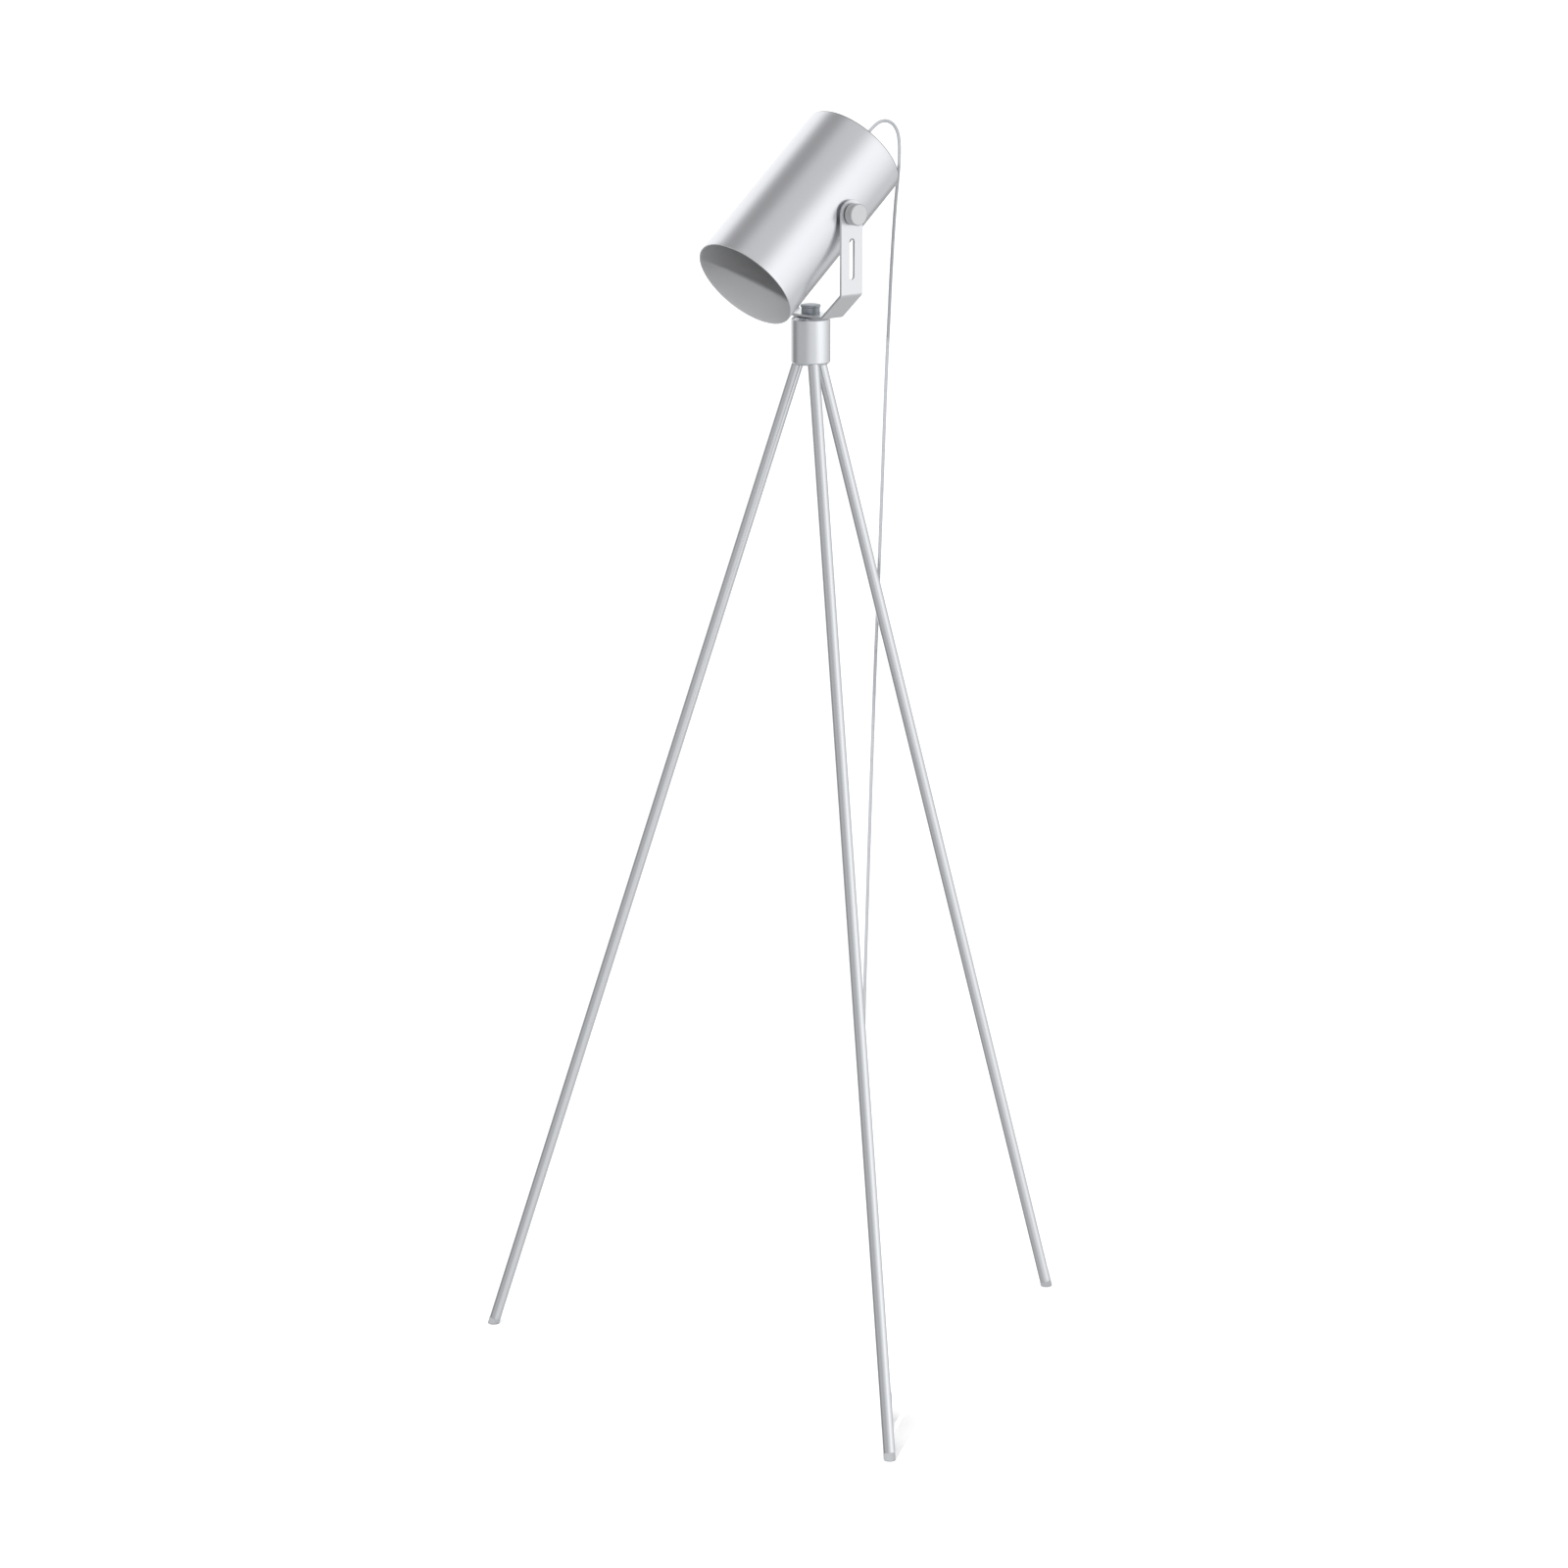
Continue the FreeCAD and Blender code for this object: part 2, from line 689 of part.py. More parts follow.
def make_rocker():
    """Rocker pressed at its lower end, on two stub pins."""
    half = rocker_length / 2
    foot = half * rocker_foot_share
    outline = [
        V(0, rocker_tip, -half), V(0, rocker_valley, 0), V(0, rocker_tip, half),
        V(0, -rocker_depth, foot), V(0, -rocker_depth, -foot),
    ]
    face = Part.Face(Part.makePolygon(outline + [outline[0]]))
    rocker = face.extrude(V(rocker_width, 0, 0))
    rocker.translate(V(-rocker_width / 2, 0, 0))
    pin_length = rocker_width + 2 * rocker_pin_length
    pins = disc(rocker_pin_diameter, pin_length, V(-pin_length / 2, 0, 0), X_AXIS)
    rocker = rocker.fuse(pins)
    rocker.rotate(V(0, 0, 0), X_AXIS, -rocker_throw / 2)
    rocker.translate(rocker_pivot())
    return head_place(rocker)


def make_wires():
    """Two insulated leads from the switch to the lamp holder's cap."""
    leads = []
    blade_end = cap_face - switch_barrel_depth - terminal_length
    for side in (-1, 1):
        x = side * terminal_spread
        points = [
            on_shade_axis(blade_end, x, switch_above_axis),
            on_shade_axis(blade_end - wire_first_run, x, switch_above_axis),
            on_shade_axis(wire_entry(), x, switch_above_axis - wire_first_run),
            on_shade_axis(wire_entry(), x, screw_terminal_top),
        ]
        leads.append(tube(points, wire_diameter / 2))
    return head_place(Part.makeCompound(leads))


# ---- cord ------------------------------------------------------------------

def rounded_path(points):
    """Straight runs joined by tangent arcs, and the radii of those arcs."""
    edges = []
    radii = []
    last = points[0]
    for i in range(1, len(points) - 1):
        before = points[i - 1] - points[i]
        after = points[i + 1] - points[i]
        turn = math.pi - before.getAngle(after)
        reach = 0.45 * min(before.Length, after.Length)
        radii.append(reach / math.tan(turn / 2))
        enter = points[i] + before.normalize() * reach
        leave = points[i] + after.normalize() * reach
        towards = (before + after).normalize()
        crown = points[i] + towards * (radii[-1] * (1 / math.cos(turn / 2) - 1))
        edges.append(Part.LineSegment(last, enter).toShape())
        edges.append(Part.Arc(enter, crown, leave).toShape())
        last = leave
    edges.append(Part.LineSegment(last, points[-1]).toShape())
    return Part.Wire(edges), radii


def swept(path, start, direction, radius):
    ring = Part.Wire([Part.makeCircle(radius, start, direction)])
    return path.makePipeShell([ring], True, False)


def tube(points, radius):
    path, radii = rounded_path(points)
    return swept(path, points[0], points[1] - points[0], radius)


def cord_tube(name, points):
    path, radii = rounded_path(points)
    solid = swept(path, points[0], points[1] - points[0], cord_radius)
    expected = math.pi * cord_radius ** 2 * path.Length
    print(name, "length %.1f" % path.Length, "least radius %.1f" % min(radii))
    print(name, "volume over section times length %.4f" % (solid.Volume / expected))
    return solid


def hank_level():
    """Level direction in which the hank stands behind its leg."""
    turn = math.radians(hank_azimuth)
    return V(math.cos(turn), math.sin(turn), 0)


def hank_leg_point(height):
    distance = (apex_height - height) / math.cos(math.radians(leg_lean))
    return along_leg(leg_azimuths["right"], distance)


def hank_frame():
    """Waist point on the leg's axis, and unit vectors down, behind and across."""
    down = leg_direction(leg_azimuths["right"])
    across = hank_level().cross(down).normalize()
    behind = down.cross(across).normalize()
    return hank_leg_point(hank_waist_height), down, behind, across


def hank_outer_radius():
    return hank_inner_radius + hank_pitch * hank_turns / 2


def hank_middle():
    """Distance of the hank's middle behind the leg's axis."""
    return leg_radius + hank_stand_off + hank_outer_radius() + cord_radius


def hank_point(eighth):
    """Centre line at a count of eighths of a turn, with its direction there."""
    turns = eighth / 8
    half = hank_turns / 2
    radius = hank_inner_radius + hank_pitch * abs(half - turns)
    place = eighth % 8
    along = [-(hank_half_run + radius), -hank_half_run, 0, hank_half_run][place % 4]
    back = [0, -radius, -(radius - hank_waist_draw), -radius][place % 4]
    heading = [(0, -1), (1, 0), (1, 0), (1, 0)][place % 4]
    if place >= 4:
        along, back = -along, -back
        heading = (-heading[0], -heading[1])
    climb = min(max(turns - (half - 0.125), 0), 0.25) / 0.25
    layer = hank_layer_pitch * (0.5 - climb)
    rise = 0.0
    if abs(turns - half) < 0.01:
        rise = -hank_layer_pitch / (2 * hank_half_run) * 1.5
    origin, down, behind, across = hank_frame()
    point = origin + down * along + behind * (hank_middle() + back) + across * layer
    direction = down * heading[0] + behind * heading[1] + across * rise
    return point, direction.normalize()


def arc_from(start, heading, end):
    """The arc that leaves start along heading and reaches end, or a line."""
    chord = end - start
    side = chord - heading * chord.dot(heading)
    if side.Length < 1e-4:
        return Part.LineSegment(start, end).toShape()
    half_turn = heading.getAngle(chord)
    sagitta = chord.Length / 2 * math.tan(half_turn / 2)
    bulge = heading - chord * (heading.dot(chord) / chord.dot(chord))
    crown = start + chord / 2 + bulge.normalize() * sagitta
    return Part.Arc(start, crown, end).toShape()


def biarc(start, heading, end, arrival):
    """Two arcs that meet smoothly, from start along heading to end along arrival."""
    chord = end - start
    both = heading + arrival
    bend = 2 * (1 - heading.dot(arrival))
    if bend < 1e-6:
        reach = chord.dot(chord) / (4 * chord.dot(heading))
    else:
        push = chord.dot(both)
        reach = (math.sqrt(push ** 2 + bend * chord.dot(chord)) - push) / bend
    joint = (start + heading * reach + end - arrival * reach) / 2
    way = (end - arrival * reach - start - heading * reach).normalize()
    return [arc_from(start, heading, joint), arc_from(joint, way, end)]


def hank_start():
    """Free end at the top, a short straight before the first station."""
    point, heading = hank_point(0)
    return point - heading * cord_diameter, heading


def hank_last():
    """The lowest point of the last loop, where the tube runs level."""
    origin, down, behind, across = hank_frame()
    roll = math.asin(-behind.z)
    radius = hank_outer_radius()
    along = hank_half_run + radius * math.cos(roll)
    back = hank_middle() + radius * math.sin(roll)
    layer = across * (hank_layer_pitch / 2)
    return origin + down * along + behind * back - layer, hank_level()


def hank_end():
    point, heading = hank_last()
    return point + heading * cord_diameter, heading


def hank_path():
    stations = [hank_point(eighth) for eighth in range(int(hank_turns * 8))]
    stations.append(hank_last())
    edges = [Part.LineSegment(hank_start()[0], stations[0][0]).toShape()]
    for (start, heading), (end, arrival) in zip(stations, stations[1:]):
        edges += biarc(start, heading, end, arrival)
    edges.append(Part.LineSegment(stations[-1][0], hank_end()[0]).toShape())
    return Part.Wire(edges)


def least_self_gap(path):
    """Least clear distance between stretches of the tube that aren't neighbours."""
    step = cord_diameter / 2
    count = int(path.Length / step)
    points = path.discretize(count)
    skip = int(4 * cord_diameter / step)
    least = path.Length
    for i in range(count):
        for j in range(i + skip, count):
            least = min(least, points[i].distanceToPoint(points[j]))
    return least - cord_diameter


def make_hank():
    path = hank_path()
    start, heading = hank_start()
    solid = swept(path, start, heading, cord_radius)
    print("hank length %.1f" % path.Length, "least self gap %.2f" % least_self_gap(path))
    expected = math.pi * cord_radius ** 2 * path.Length
    print("hank volume over section times length %.4f" % (solid.Volume / expected))
    return solid


def loop_points():
    """From the grip's end over the loop behind the head."""
    start = grip_end()
    first = head_vector(on_shade_axis(cap_face + grip_length + grip_lead))
    return [start, first] + [V(*p) for p in loop_route]


def drop_points():
    """The hanging stretch, led along the hank's first heading into its top."""
    start, heading = hank_start()
    return [V(*p) for p in drop_route] + [start - heading * 22, start]


def lead_points():
    """The short stretch from the bottom of the hank to the plug."""
    start, heading = hank_end()
    end = plug_cord_end()
    span = (end - start).dot(heading) * 0.29
    return [start, start + heading * span, end - heading * span, end]


# ---- tie, its mount on the leg, and plug -----------------------------------

def tie_place(shape):
    """Lays a shape drawn with X across, Y behind and Z down the leg at the waist."""
    origin, down, behind, across = hank_frame()
    matrix = FreeCAD.Matrix(
        across.x, behind.x, down.x, origin.x,
        across.y, behind.y, down.y, origin.y,
        across.z, behind.z, down.z, origin.z,
        0, 0, 0, 1,
    )
    placed = shape.copy()
    placed.Placement = FreeCAD.Placement(matrix).multiply(placed.Placement)
    return placed


def waist_half():
    return hank_outer_radius() - hank_waist_draw + cord_radius


def tie_front():
    """Face of the tie's front stretch, inside the slot of the mount."""
    return leg_radius + tie_mount_reach - tie_slot_cover - tie_thickness


def tie_ring(grow):
    """Closed block of the tie's outline, grown by its thickness or not."""
    half_across = hank_layer_pitch / 2 + cord_radius + tie_clearance
    front = tie_front() + tie_thickness
    rear = hank_middle() + waist_half() + tie_clearance
    size_x = 2 * (half_across + grow)
    size_y = rear - front + 2 * grow
    block = centred_box(size_x, size_y, tie_width, V(0, (front + rear) / 2, 0))
    uprights = [e for e in block.Edges if abs(e.tangentAt(e.FirstParameter).z) > 0.9]
    return block.makeFillet(0.6 + grow, uprights)


def make_tie():
    return tie_place(tie_ring(tie_thickness).cut(tie_ring(0)))


def make_tie_mount():
    """Stick-on block behind the leg, with a slot that the tie runs through."""
    reach = tie_mount_reach
    middle = V(0, leg_radius + reach / 2 - 1, 0)
    block = centred_box(tie_mount_width, reach + 2, tie_mount_height, middle)
    leg_start = V(0, 0, -tie_mount_height)
    block = block.cut(disc(leg_diameter, 2 * tie_mount_height, leg_start))
    slot_depth = tie_thickness + 2 * slip_clearance
    slot_middle = V(0, tie_front() + tie_thickness / 2, 0)
    slot_height = tie_width + 2 * slip_clearance
    slot = centred_box(2 * tie_mount_width, slot_depth, slot_height, slot_middle)
    return tie_place(block.cut(slot))


def plug_cord_end():
    """Where the cord enters the plug's strain relief, level with the plug's middle."""
    foot = hank_leg_point(plug_width / 2)
    reach = (hank_end()[0] - foot).dot(hank_level())
    return foot + hank_level() * (reach + plug_behind_hank)


def plug_place(shape):
    """Lays a shape drawn along X from the cord's entry, Z up, on the floor."""
    placed = shape.copy()
    placed.rotate(V(0, 0, 0), Z_AXIS, hank_azimuth)
    placed.translate(plug_cord_end())
    return placed


def make_plug_relief():
    relief = cone(plug_relief_tip, plug_relief_base, plug_relief_length, V(0, 0, 0), X_AXIS)
    return plug_place(relief)


def make_plug_body():
    """Flat moulded body that stands on its narrow side."""
    start = plug_relief_length
    end = start + plug_length
    shoulder = end - plug_shoulder
    half = plug_width / 2
    neck = plug_neck_width / 2
    outline = [
        V(start, 0, -neck), V(shoulder, 0, -half), V(end, 0, -half),
        V(end, 0, half), V(shoulder, 0, half), V(start, 0, neck),
    ]
    face = Part.Face(Part.makePolygon(outline + [outline[0]]))
    body = face.extrude(V(0, plug_thickness, 0))
    body.translate(V(0, -plug_thickness / 2, 0))
    long_edges = [e for e in body.Edges if abs(e.tangentAt(e.FirstParameter).y) < 0.1]
    return plug_place(body.makeFillet(plug_edge_round, long_edges))


def make_plug_pins():
    end = plug_relief_length + plug_length
    pins = []
    for side in (-1, 1):
        start = V(end, 0, side * plug_pin_spacing / 2)
        pin = disc(plug_pin_diameter, plug_pin_length, start, X_AXIS)
        tip = [e for e in pin.Edges if e.Closed and e.CenterOfMass.x > end + overcut]
        pins.append(pin.makeFillet(plug_pin_diameter / 4, tip))
    return plug_place(Part.makeCompound(pins))


# ---- the lamp --------------------------------------------------------------

def build():
    save("hub", make_hub())
    for name, azimuth in leg_azimuths.items():
        save("leg_" + name, make_leg(azimuth))
        save("leg_stud_" + name, make_stud(azimuth))
        save("foot_" + name, make_foot(azimuth))
    save("swivel_washer", make_swivel_washer())
    save("swivel_knob", make_swivel_knob())
    save("swivel_screw", make_swivel_screw())
    save("bracket", make_bracket())
    for name, side in (("right", 1), ("left", -1)):
        save("spacer_" + name, make_spacer(side))
        save("insert_" + name, make_insert(side))
        save("side_washer_" + name, make_side_washer(side))
        save("side_screw_" + name, make_side_screw(side))
        save("side_knob_" + name, make_side_knob(side))
    save("shade", make_shade())
    save("rear_cap", make_rear_cap())
    save("nipple", make_nipple())
    save("nipple_nut", make_nipple_nut())
    save("cord_grip", make_cord_grip())
    save("switch_body", make_switch_body())
    save("switch_rocker", make_rocker())
    save("switch_wires", make_wires())
    save("holder_cap", make_holder_cap())
    save("holder_body", make_holder_body())
    save("screw_terminals", make_screw_terminals())
    save("socket_shell", make_socket_shell())
    save("centre_contact", make_centre_contact())
    save("cord_loop", cord_tube("loop", loop_points()))
    save("cord_drop", cord_tube("drop", drop_points()))
    save("cord_hank", make_hank())
    save("cord_lead", cord_tube("lead", lead_points()))
    save("cord_tie", make_tie())
    save("tie_mount", make_tie_mount())
    save("plug_relief", make_plug_relief())
    save("plug_body", make_plug_body())
    save("plug_pins", make_plug_pins())


build()
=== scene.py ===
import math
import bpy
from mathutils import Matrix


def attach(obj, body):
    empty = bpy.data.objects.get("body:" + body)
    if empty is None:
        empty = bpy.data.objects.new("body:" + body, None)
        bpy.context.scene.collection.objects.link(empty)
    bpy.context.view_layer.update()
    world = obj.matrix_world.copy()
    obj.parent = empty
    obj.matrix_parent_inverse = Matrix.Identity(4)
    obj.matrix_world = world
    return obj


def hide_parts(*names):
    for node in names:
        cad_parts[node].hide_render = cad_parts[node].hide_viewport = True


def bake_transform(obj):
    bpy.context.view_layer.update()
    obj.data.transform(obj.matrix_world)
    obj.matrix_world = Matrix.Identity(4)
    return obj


bl_info = {
    "name": "Tripod Spotlight Lamp",
    "version": (1, 0, 0),
    "blender": (4, 5, 0),
    "location": "View3D > Sidebar > Lamp",
    "description": "Dresses the packed floor lamp with its surfaces and finishes",
    "category": "Object",
}

import bpy
import numpy as np
from mathutils import Matrix, Vector

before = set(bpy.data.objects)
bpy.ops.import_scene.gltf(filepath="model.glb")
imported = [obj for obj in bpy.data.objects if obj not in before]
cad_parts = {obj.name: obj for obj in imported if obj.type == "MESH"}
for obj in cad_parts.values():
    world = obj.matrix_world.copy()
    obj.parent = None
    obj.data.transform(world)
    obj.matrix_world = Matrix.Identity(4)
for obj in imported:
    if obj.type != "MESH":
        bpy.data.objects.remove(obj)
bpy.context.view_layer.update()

X_AXIS, Y_AXIS, Z_AXIS = np.eye(3)
FLOOR_POINT = (0.0, 0.0, 0.0)
LEG_AZIMUTHS = {"rear": 90.0, "left": 210.0, "right": 330.0}
SIDES = {"right": 1, "left": -1}


# ---- the cord's route, in metres -------------------------------------------

LOOP_ROUTE = (
    (-0.0002, 0.1152, 1.5054), (-0.0004, 0.1305, 1.5031), (-0.0006, 0.1416, 1.4924),
    (-0.0008, 0.1454, 1.4772), (-0.0009, 0.1454, 1.4550), (-0.0012, 0.1428, 1.4290),
    (-0.0017, 0.1393, 1.3990), (-0.0025, 0.1371, 1.3620),
)
DROP_ROUTE = (
    (-0.0025, 0.1371, 1.3620), (-0.00338, 0.13468, 1.3213), (-0.0048, 0.1332, 1.2700),
    (-0.0068, 0.1309, 1.2050), (-0.0092, 0.1293, 1.1200), (-0.0116, 0.1274, 1.0250),
    (-0.0126, 0.1234, 0.9200), (-0.0116, 0.1172, 0.8150), (-0.0090, 0.1102, 0.7100),
    (-0.0056, 0.1030, 0.6100), (-0.0016, 0.0957, 0.5150), (0.0027, 0.0883, 0.4300),
    (0.0081, 0.0825, 0.3580), (0.0154, 0.0785, 0.3000), (0.0289, 0.0710, 0.2480),
    (0.0468, 0.0594, 0.1990), (0.0694, 0.0427, 0.1560), (0.0977, 0.0201, 0.1210),
    (0.1298, -0.0069, 0.0960), (0.1645, -0.0372, 0.0800), (0.2010, -0.0699, 0.0735),
    (0.2341, -0.1004, 0.0760), (0.2625, -0.1273, 0.0845),
)


# ---- the studio's light ----------------------------------------------------

# What shiny surfaces see of the studio before any panel, and what all else sees.
STUDIO_BASE = 0.62
STUDIO_PLAIN = 1.20

# Each soft panel's direction, the cosines at which it begins and is full, and its
# gain. A panel with a gain below nothing is a dark one.
STUDIO_PANELS = (
    ((-0.90, 0.40, 0.15), 0.62, 0.90, 0.65),
    ((-0.30, -0.20, 0.93), 0.90, 1.00, -0.22),
    ((0.86, 0.50, 0.10), 0.60, 1.00, 0.53),
    ((0.85, -0.15, -0.20), 0.40, 1.00, 0.34),
    ((0.60, -0.10, 0.80), 0.50, 1.00, 0.15),
    ((0.10, 0.92, -0.38), 0.80, 1.00, 0.20),
    ((-0.55, 0.80, -0.24), 0.89, 1.00, -0.36),
    ((-0.92, -0.34, -0.20), 0.72, 1.00, -0.30),
)


# ---- sizes and colours -----------------------------------------------------

def length(label, text, metres):
    return bpy.props.FloatProperty(
        name=label, description=text, default=metres, min=0.0001, unit="LENGTH", precision=4
    )


def angle(label, text, degrees):
    return bpy.props.FloatProperty(
        name=label, description=text, default=math.radians(degrees), subtype="ANGLE"
    )


def tint(label, text, colour):
    return bpy.props.FloatVectorProperty(
        name=label, description=text, default=colour, size=3, min=0.0, max=1.0, subtype="COLOR"
    )


class LampSizes(bpy.types.PropertyGroup):
    """Sizes of the pieces that are made here, as the frame has them"""

    apex_height: length("Apex height", "Height at which the legs' axes meet", 1.275)
    foot_circle: length("Foot circle", "Radius of the circle of the feet", 0.413)
    leg_diameter: length("Leg diameter", "Outside of a leg's tube", 0.014)
    leg_wall: length("Leg wall", "Wall of a leg's tube", 0.0012)
    leg_top_gap: length("Leg top gap", "From the apex to a leg's top end", 0.029)
    foot_collar: length("Foot collar", "Length of a foot cap below the tube", 0.008)
    hub_diameter: length("Hub diameter", "Outside of the hub", 0.047)
    hub_height: length("Hub height", "Height of the hub", 0.0565)
    hub_top: length("Hub top", "Height of the hub's upper face", 1.282)
    hub_chamfer: length("Hub chamfer", "Chamfer at both ends of the hub", 0.003)
    base_top: length("Base top", "Height of the bracket's inner floor", 1.286)
    pivot_height: length("Pivot height", "Height of the head's pivot", 1.4093)
    tilt: angle("Tilt", "How far the head looks down at rest", 39.5)
    shade_diameter: length("Shade diameter", "Outside of the shade", 0.130)
    shade_wall: length("Shade wall", "Thickness of the shade's sheet", 0.0012)
    shade_front: length("Shade front", "From the pivot to the mouth", 0.132)
    shade_rear: length("Shade rear", "From the pivot to the rear rim", 0.093)
    axis_rise: length("Axis rise", "Shade's axis above the pivot", 0.005)
    cap_face: length("Cap face", "From the pivot to the rear cap's face", 0.092)
    arm_face: length("Arm face", "From the middle to an arm's outer face", 0.071)
    washer: length("Knob washer", "Thickness of the washer under a side knob", 0.0008)
    knob_diameter: length("Knob diameter", "Outside of a side knob", 0.026)
    knob_length: length("Knob length", "Length of a side knob", 0.0115)
    swivel_knob: length("Swivel knob", "Outside of the swivel knob's rim", 0.024)
    cord_diameter: length("Cord diameter", "Outside of the cord", 0.004)
    grip_length: length("Grip length", "Length of the cord grip", 0.027)
    relief_length: length("Relief length", "Length of the plug's strain relief", 0.022)
    plug_length: length("Plug length", "Length of the plug's body", 0.036)
    pin_length: length("Pin length", "How far a pin stands out of the plug", 0.019)


class LampColours(bpy.types.PropertyGroup):
    """Colours of the finishes"""

    satin: tint("Satin metal", "Shade and rear cap", (0.665, 0.672, 0.70))
    inside: tint("Shade inside", "Painted inside of the shade", (0.375, 0.379, 0.386))
    bracket: tint("Bracket", "Bent strip", (0.69, 0.70, 0.72))
    legs: tint("Legs", "Leg tubes", (0.64, 0.655, 0.68))
    hub: tint("Hub", "Turned hub", (0.66, 0.675, 0.70))
    knobs: tint("Side knobs", "Turned side knobs", (0.58, 0.585, 0.595))
    swivel: tint("Swivel knob", "Dark swivel knob", (0.42, 0.45, 0.485))
    steel: tint("Steel", "Screws, studs and nipple", (0.42, 0.42, 0.43))
    brass: tint("Brass", "Socket, inserts and contacts", (0.72, 0.50, 0.20))
    pins: tint("Plug pins", "Nickel of the plug's pins", (0.70, 0.68, 0.62))
    sleeves: tint("Pin sleeves", "Dark sleeves on the pins' roots", (0.03, 0.03, 0.032))
    feet: tint("Feet", "Plastic foot caps", (0.31, 0.318, 0.33))
    spacers: tint("Spacers", "Plastic between shade and arms", (0.42, 0.425, 0.44))
    washers: tint("Swivel washer", "Dark washer under the bracket", (0.035, 0.037, 0.042))
    side_washers: tint("Side washers", "Grey washers under the side knobs", (0.24, 0.245, 0.255))
    black: tint("Black plastic", "Lamp holder and switch", (0.022, 0.022, 0.024))
    cord: tint("Cord", "Sheath of the cord", (0.34, 0.35, 0.37))
    grip: tint("Cord grip", "Pale cord grip", (0.52, 0.53, 0.56))
    ties: tint("Ties", "Cord tie and its mount", (0.30, 0.30, 0.31))
    wire: tint("Wire", "Leads inside the head", (0.20, 0.07, 0.03))
    floor: tint("Floor", "Pale studio floor", (0.93, 0.93, 0.935))


def sizes():
    return bpy.context.scene.lamp_sizes


def colour_of(key):
    return tuple(getattr(bpy.context.scene.lamp_colours, key))


# ---- shader maths ----------------------------------------------------------

class Value:
    """A number socket that adds Math nodes when Python operators meet it."""

    def __init__(self, recipe, socket):
        self.recipe = recipe
        self.socket = socket

    def maths(self, operation, first, second):
        made = self.recipe.node("ShaderNodeMath", {"operation": operation}, {0: first, 1: second})
        return Value(self.recipe, made.outputs[0])

    def __add__(self, other):
        return self.maths("ADD", self, other)

    def __sub__(self, other):
        return self.maths("SUBTRACT", self, other)

    def __rsub__(self, other):
        return self.maths("SUBTRACT", other, self)

    def __mul__(self, other):
        return self.maths("MULTIPLY", self, other)

    __radd__ = __add__
    __rmul__ = __mul__

    def sine(self):
        return self.maths("SINE", self, 0.0)

    def between(self, low, high):
        """Low where this is 0 and high where it is 1."""
        return self * (high - low) + low

    def smooth_above(self, low, high):
        """0 below low, 1 above high, easing between."""
        made = self.recipe.node(
            "ShaderNodeMapRange", {"interpolation_type": "SMOOTHSTEP"},
            {"Value": self, "From Min": low, "From Max": high},
        )
        return Value(self.recipe, made.outputs[0])


class Recipe:
    """One node tree, written as expressions over its nodes."""

    def __init__(self, tree, coordinate):
        self.tree = tree
        self.place = self.node("ShaderNodeTexCoord", {}, {}).outputs[coordinate]

    def node(self, kind, settings, inputs):
        made = self.tree.nodes.new(kind)
        for key, value in settings.items():
            setattr(made, key, value)
        for key, value in inputs.items():
            self.feed(made.inputs[key], value)
        return made

    def feed(self, socket, value):
        if isinstance(value, Value):
            value = value.socket
        if isinstance(value, bpy.types.NodeSocket):
            self.tree.links.new(value, socket)
        else:
            socket.default_value = value

    def vector(self, operation, first, second):
        made = self.node("ShaderNodeVectorMath", {"operation": operation}, {0: first, 1: second})
        return made.outputs[0]

    def along(self, direction, origin=FLOOR_POINT):
        """Distance of the surface point from origin along a direction."""
        made = self.node(
            "ShaderNodeVectorMath", {"operation": "DOT_PRODUCT"},
            {0: self.vector("SUBTRACT", self.place, tuple(origin)), 1: tuple(direction)},
        )
        return Value(self, made.outputs["Value"])

    def away(self, axis, origin=FLOOR_POINT):
        """Distance of the surface point from an axis through origin."""
        offset = self.vector("SUBTRACT", self.place, tuple(origin))
        across = self.vector("CROSS_PRODUCT", offset, tuple(axis))
        made = self.node("ShaderNodeVectorMath", {"operation": "LENGTH"}, {0: across})
        return Value(self, made.outputs["Value"])

    def noise(self, scale, detail, drawn=None):
        """Noise, drawn out 25 times along a direction where one is given."""
        place = self.place
        if drawn is not None:
            shift = self.node(
                "ShaderNodeVectorMath", {"operation": "SCALE"},
                {0: tuple(drawn), "Scale": self.along(drawn) * (1 - 1 / 25)},
            )
            place = self.vector("SUBTRACT", place, shift.outputs[0])
        made = self.node(
            "ShaderNodeTexNoise", {}, {"Vector": place, "Scale": scale, "Detail": detail}
        )
        return Value(self, made.outputs[0])

    def mix(self, mask, first, second):
        """The first colour where the mask is 0, the second where it is 1."""
        first, second = ((*c, 1.0) if isinstance(c, tuple) else c for c in (first, second))
        made = self.node(
            "ShaderNodeMix", {"data_type": "RGBA"}, {"Factor": mask, 6: first, 7: second}
        )
        return made.outputs[2]

    def bump(self, height, distance, strength):
        made = self.node(
            "ShaderNodeBump", {}, {"Height": height, "Distance": distance, "Strength": strength}
        )
        return made.outputs[0]


class Finish(Recipe):
    """One material's recipe, with its shader."""

    def __init__(self, name):
        self.material = bpy.data.materials.new(name)
        self.material.use_nodes = True
        super().__init__(self.material.node_tree, "Object")
        self.shader = self.tree.nodes["Principled BSDF"]

    def set(self, **values):
        """Feeds the shader's sockets; underscores stand for spaces."""
        for key, value in values.items():
            self.feed(self.shader.inputs[key.replace("_", " ")], value)


def shaded(colour, factor):
    """A colour times a factor, kept between black and white."""
    return tuple(min(1.0, max(0.0, c * factor)) for c in colour)


# ---- finishes --------------------------------------------------------------

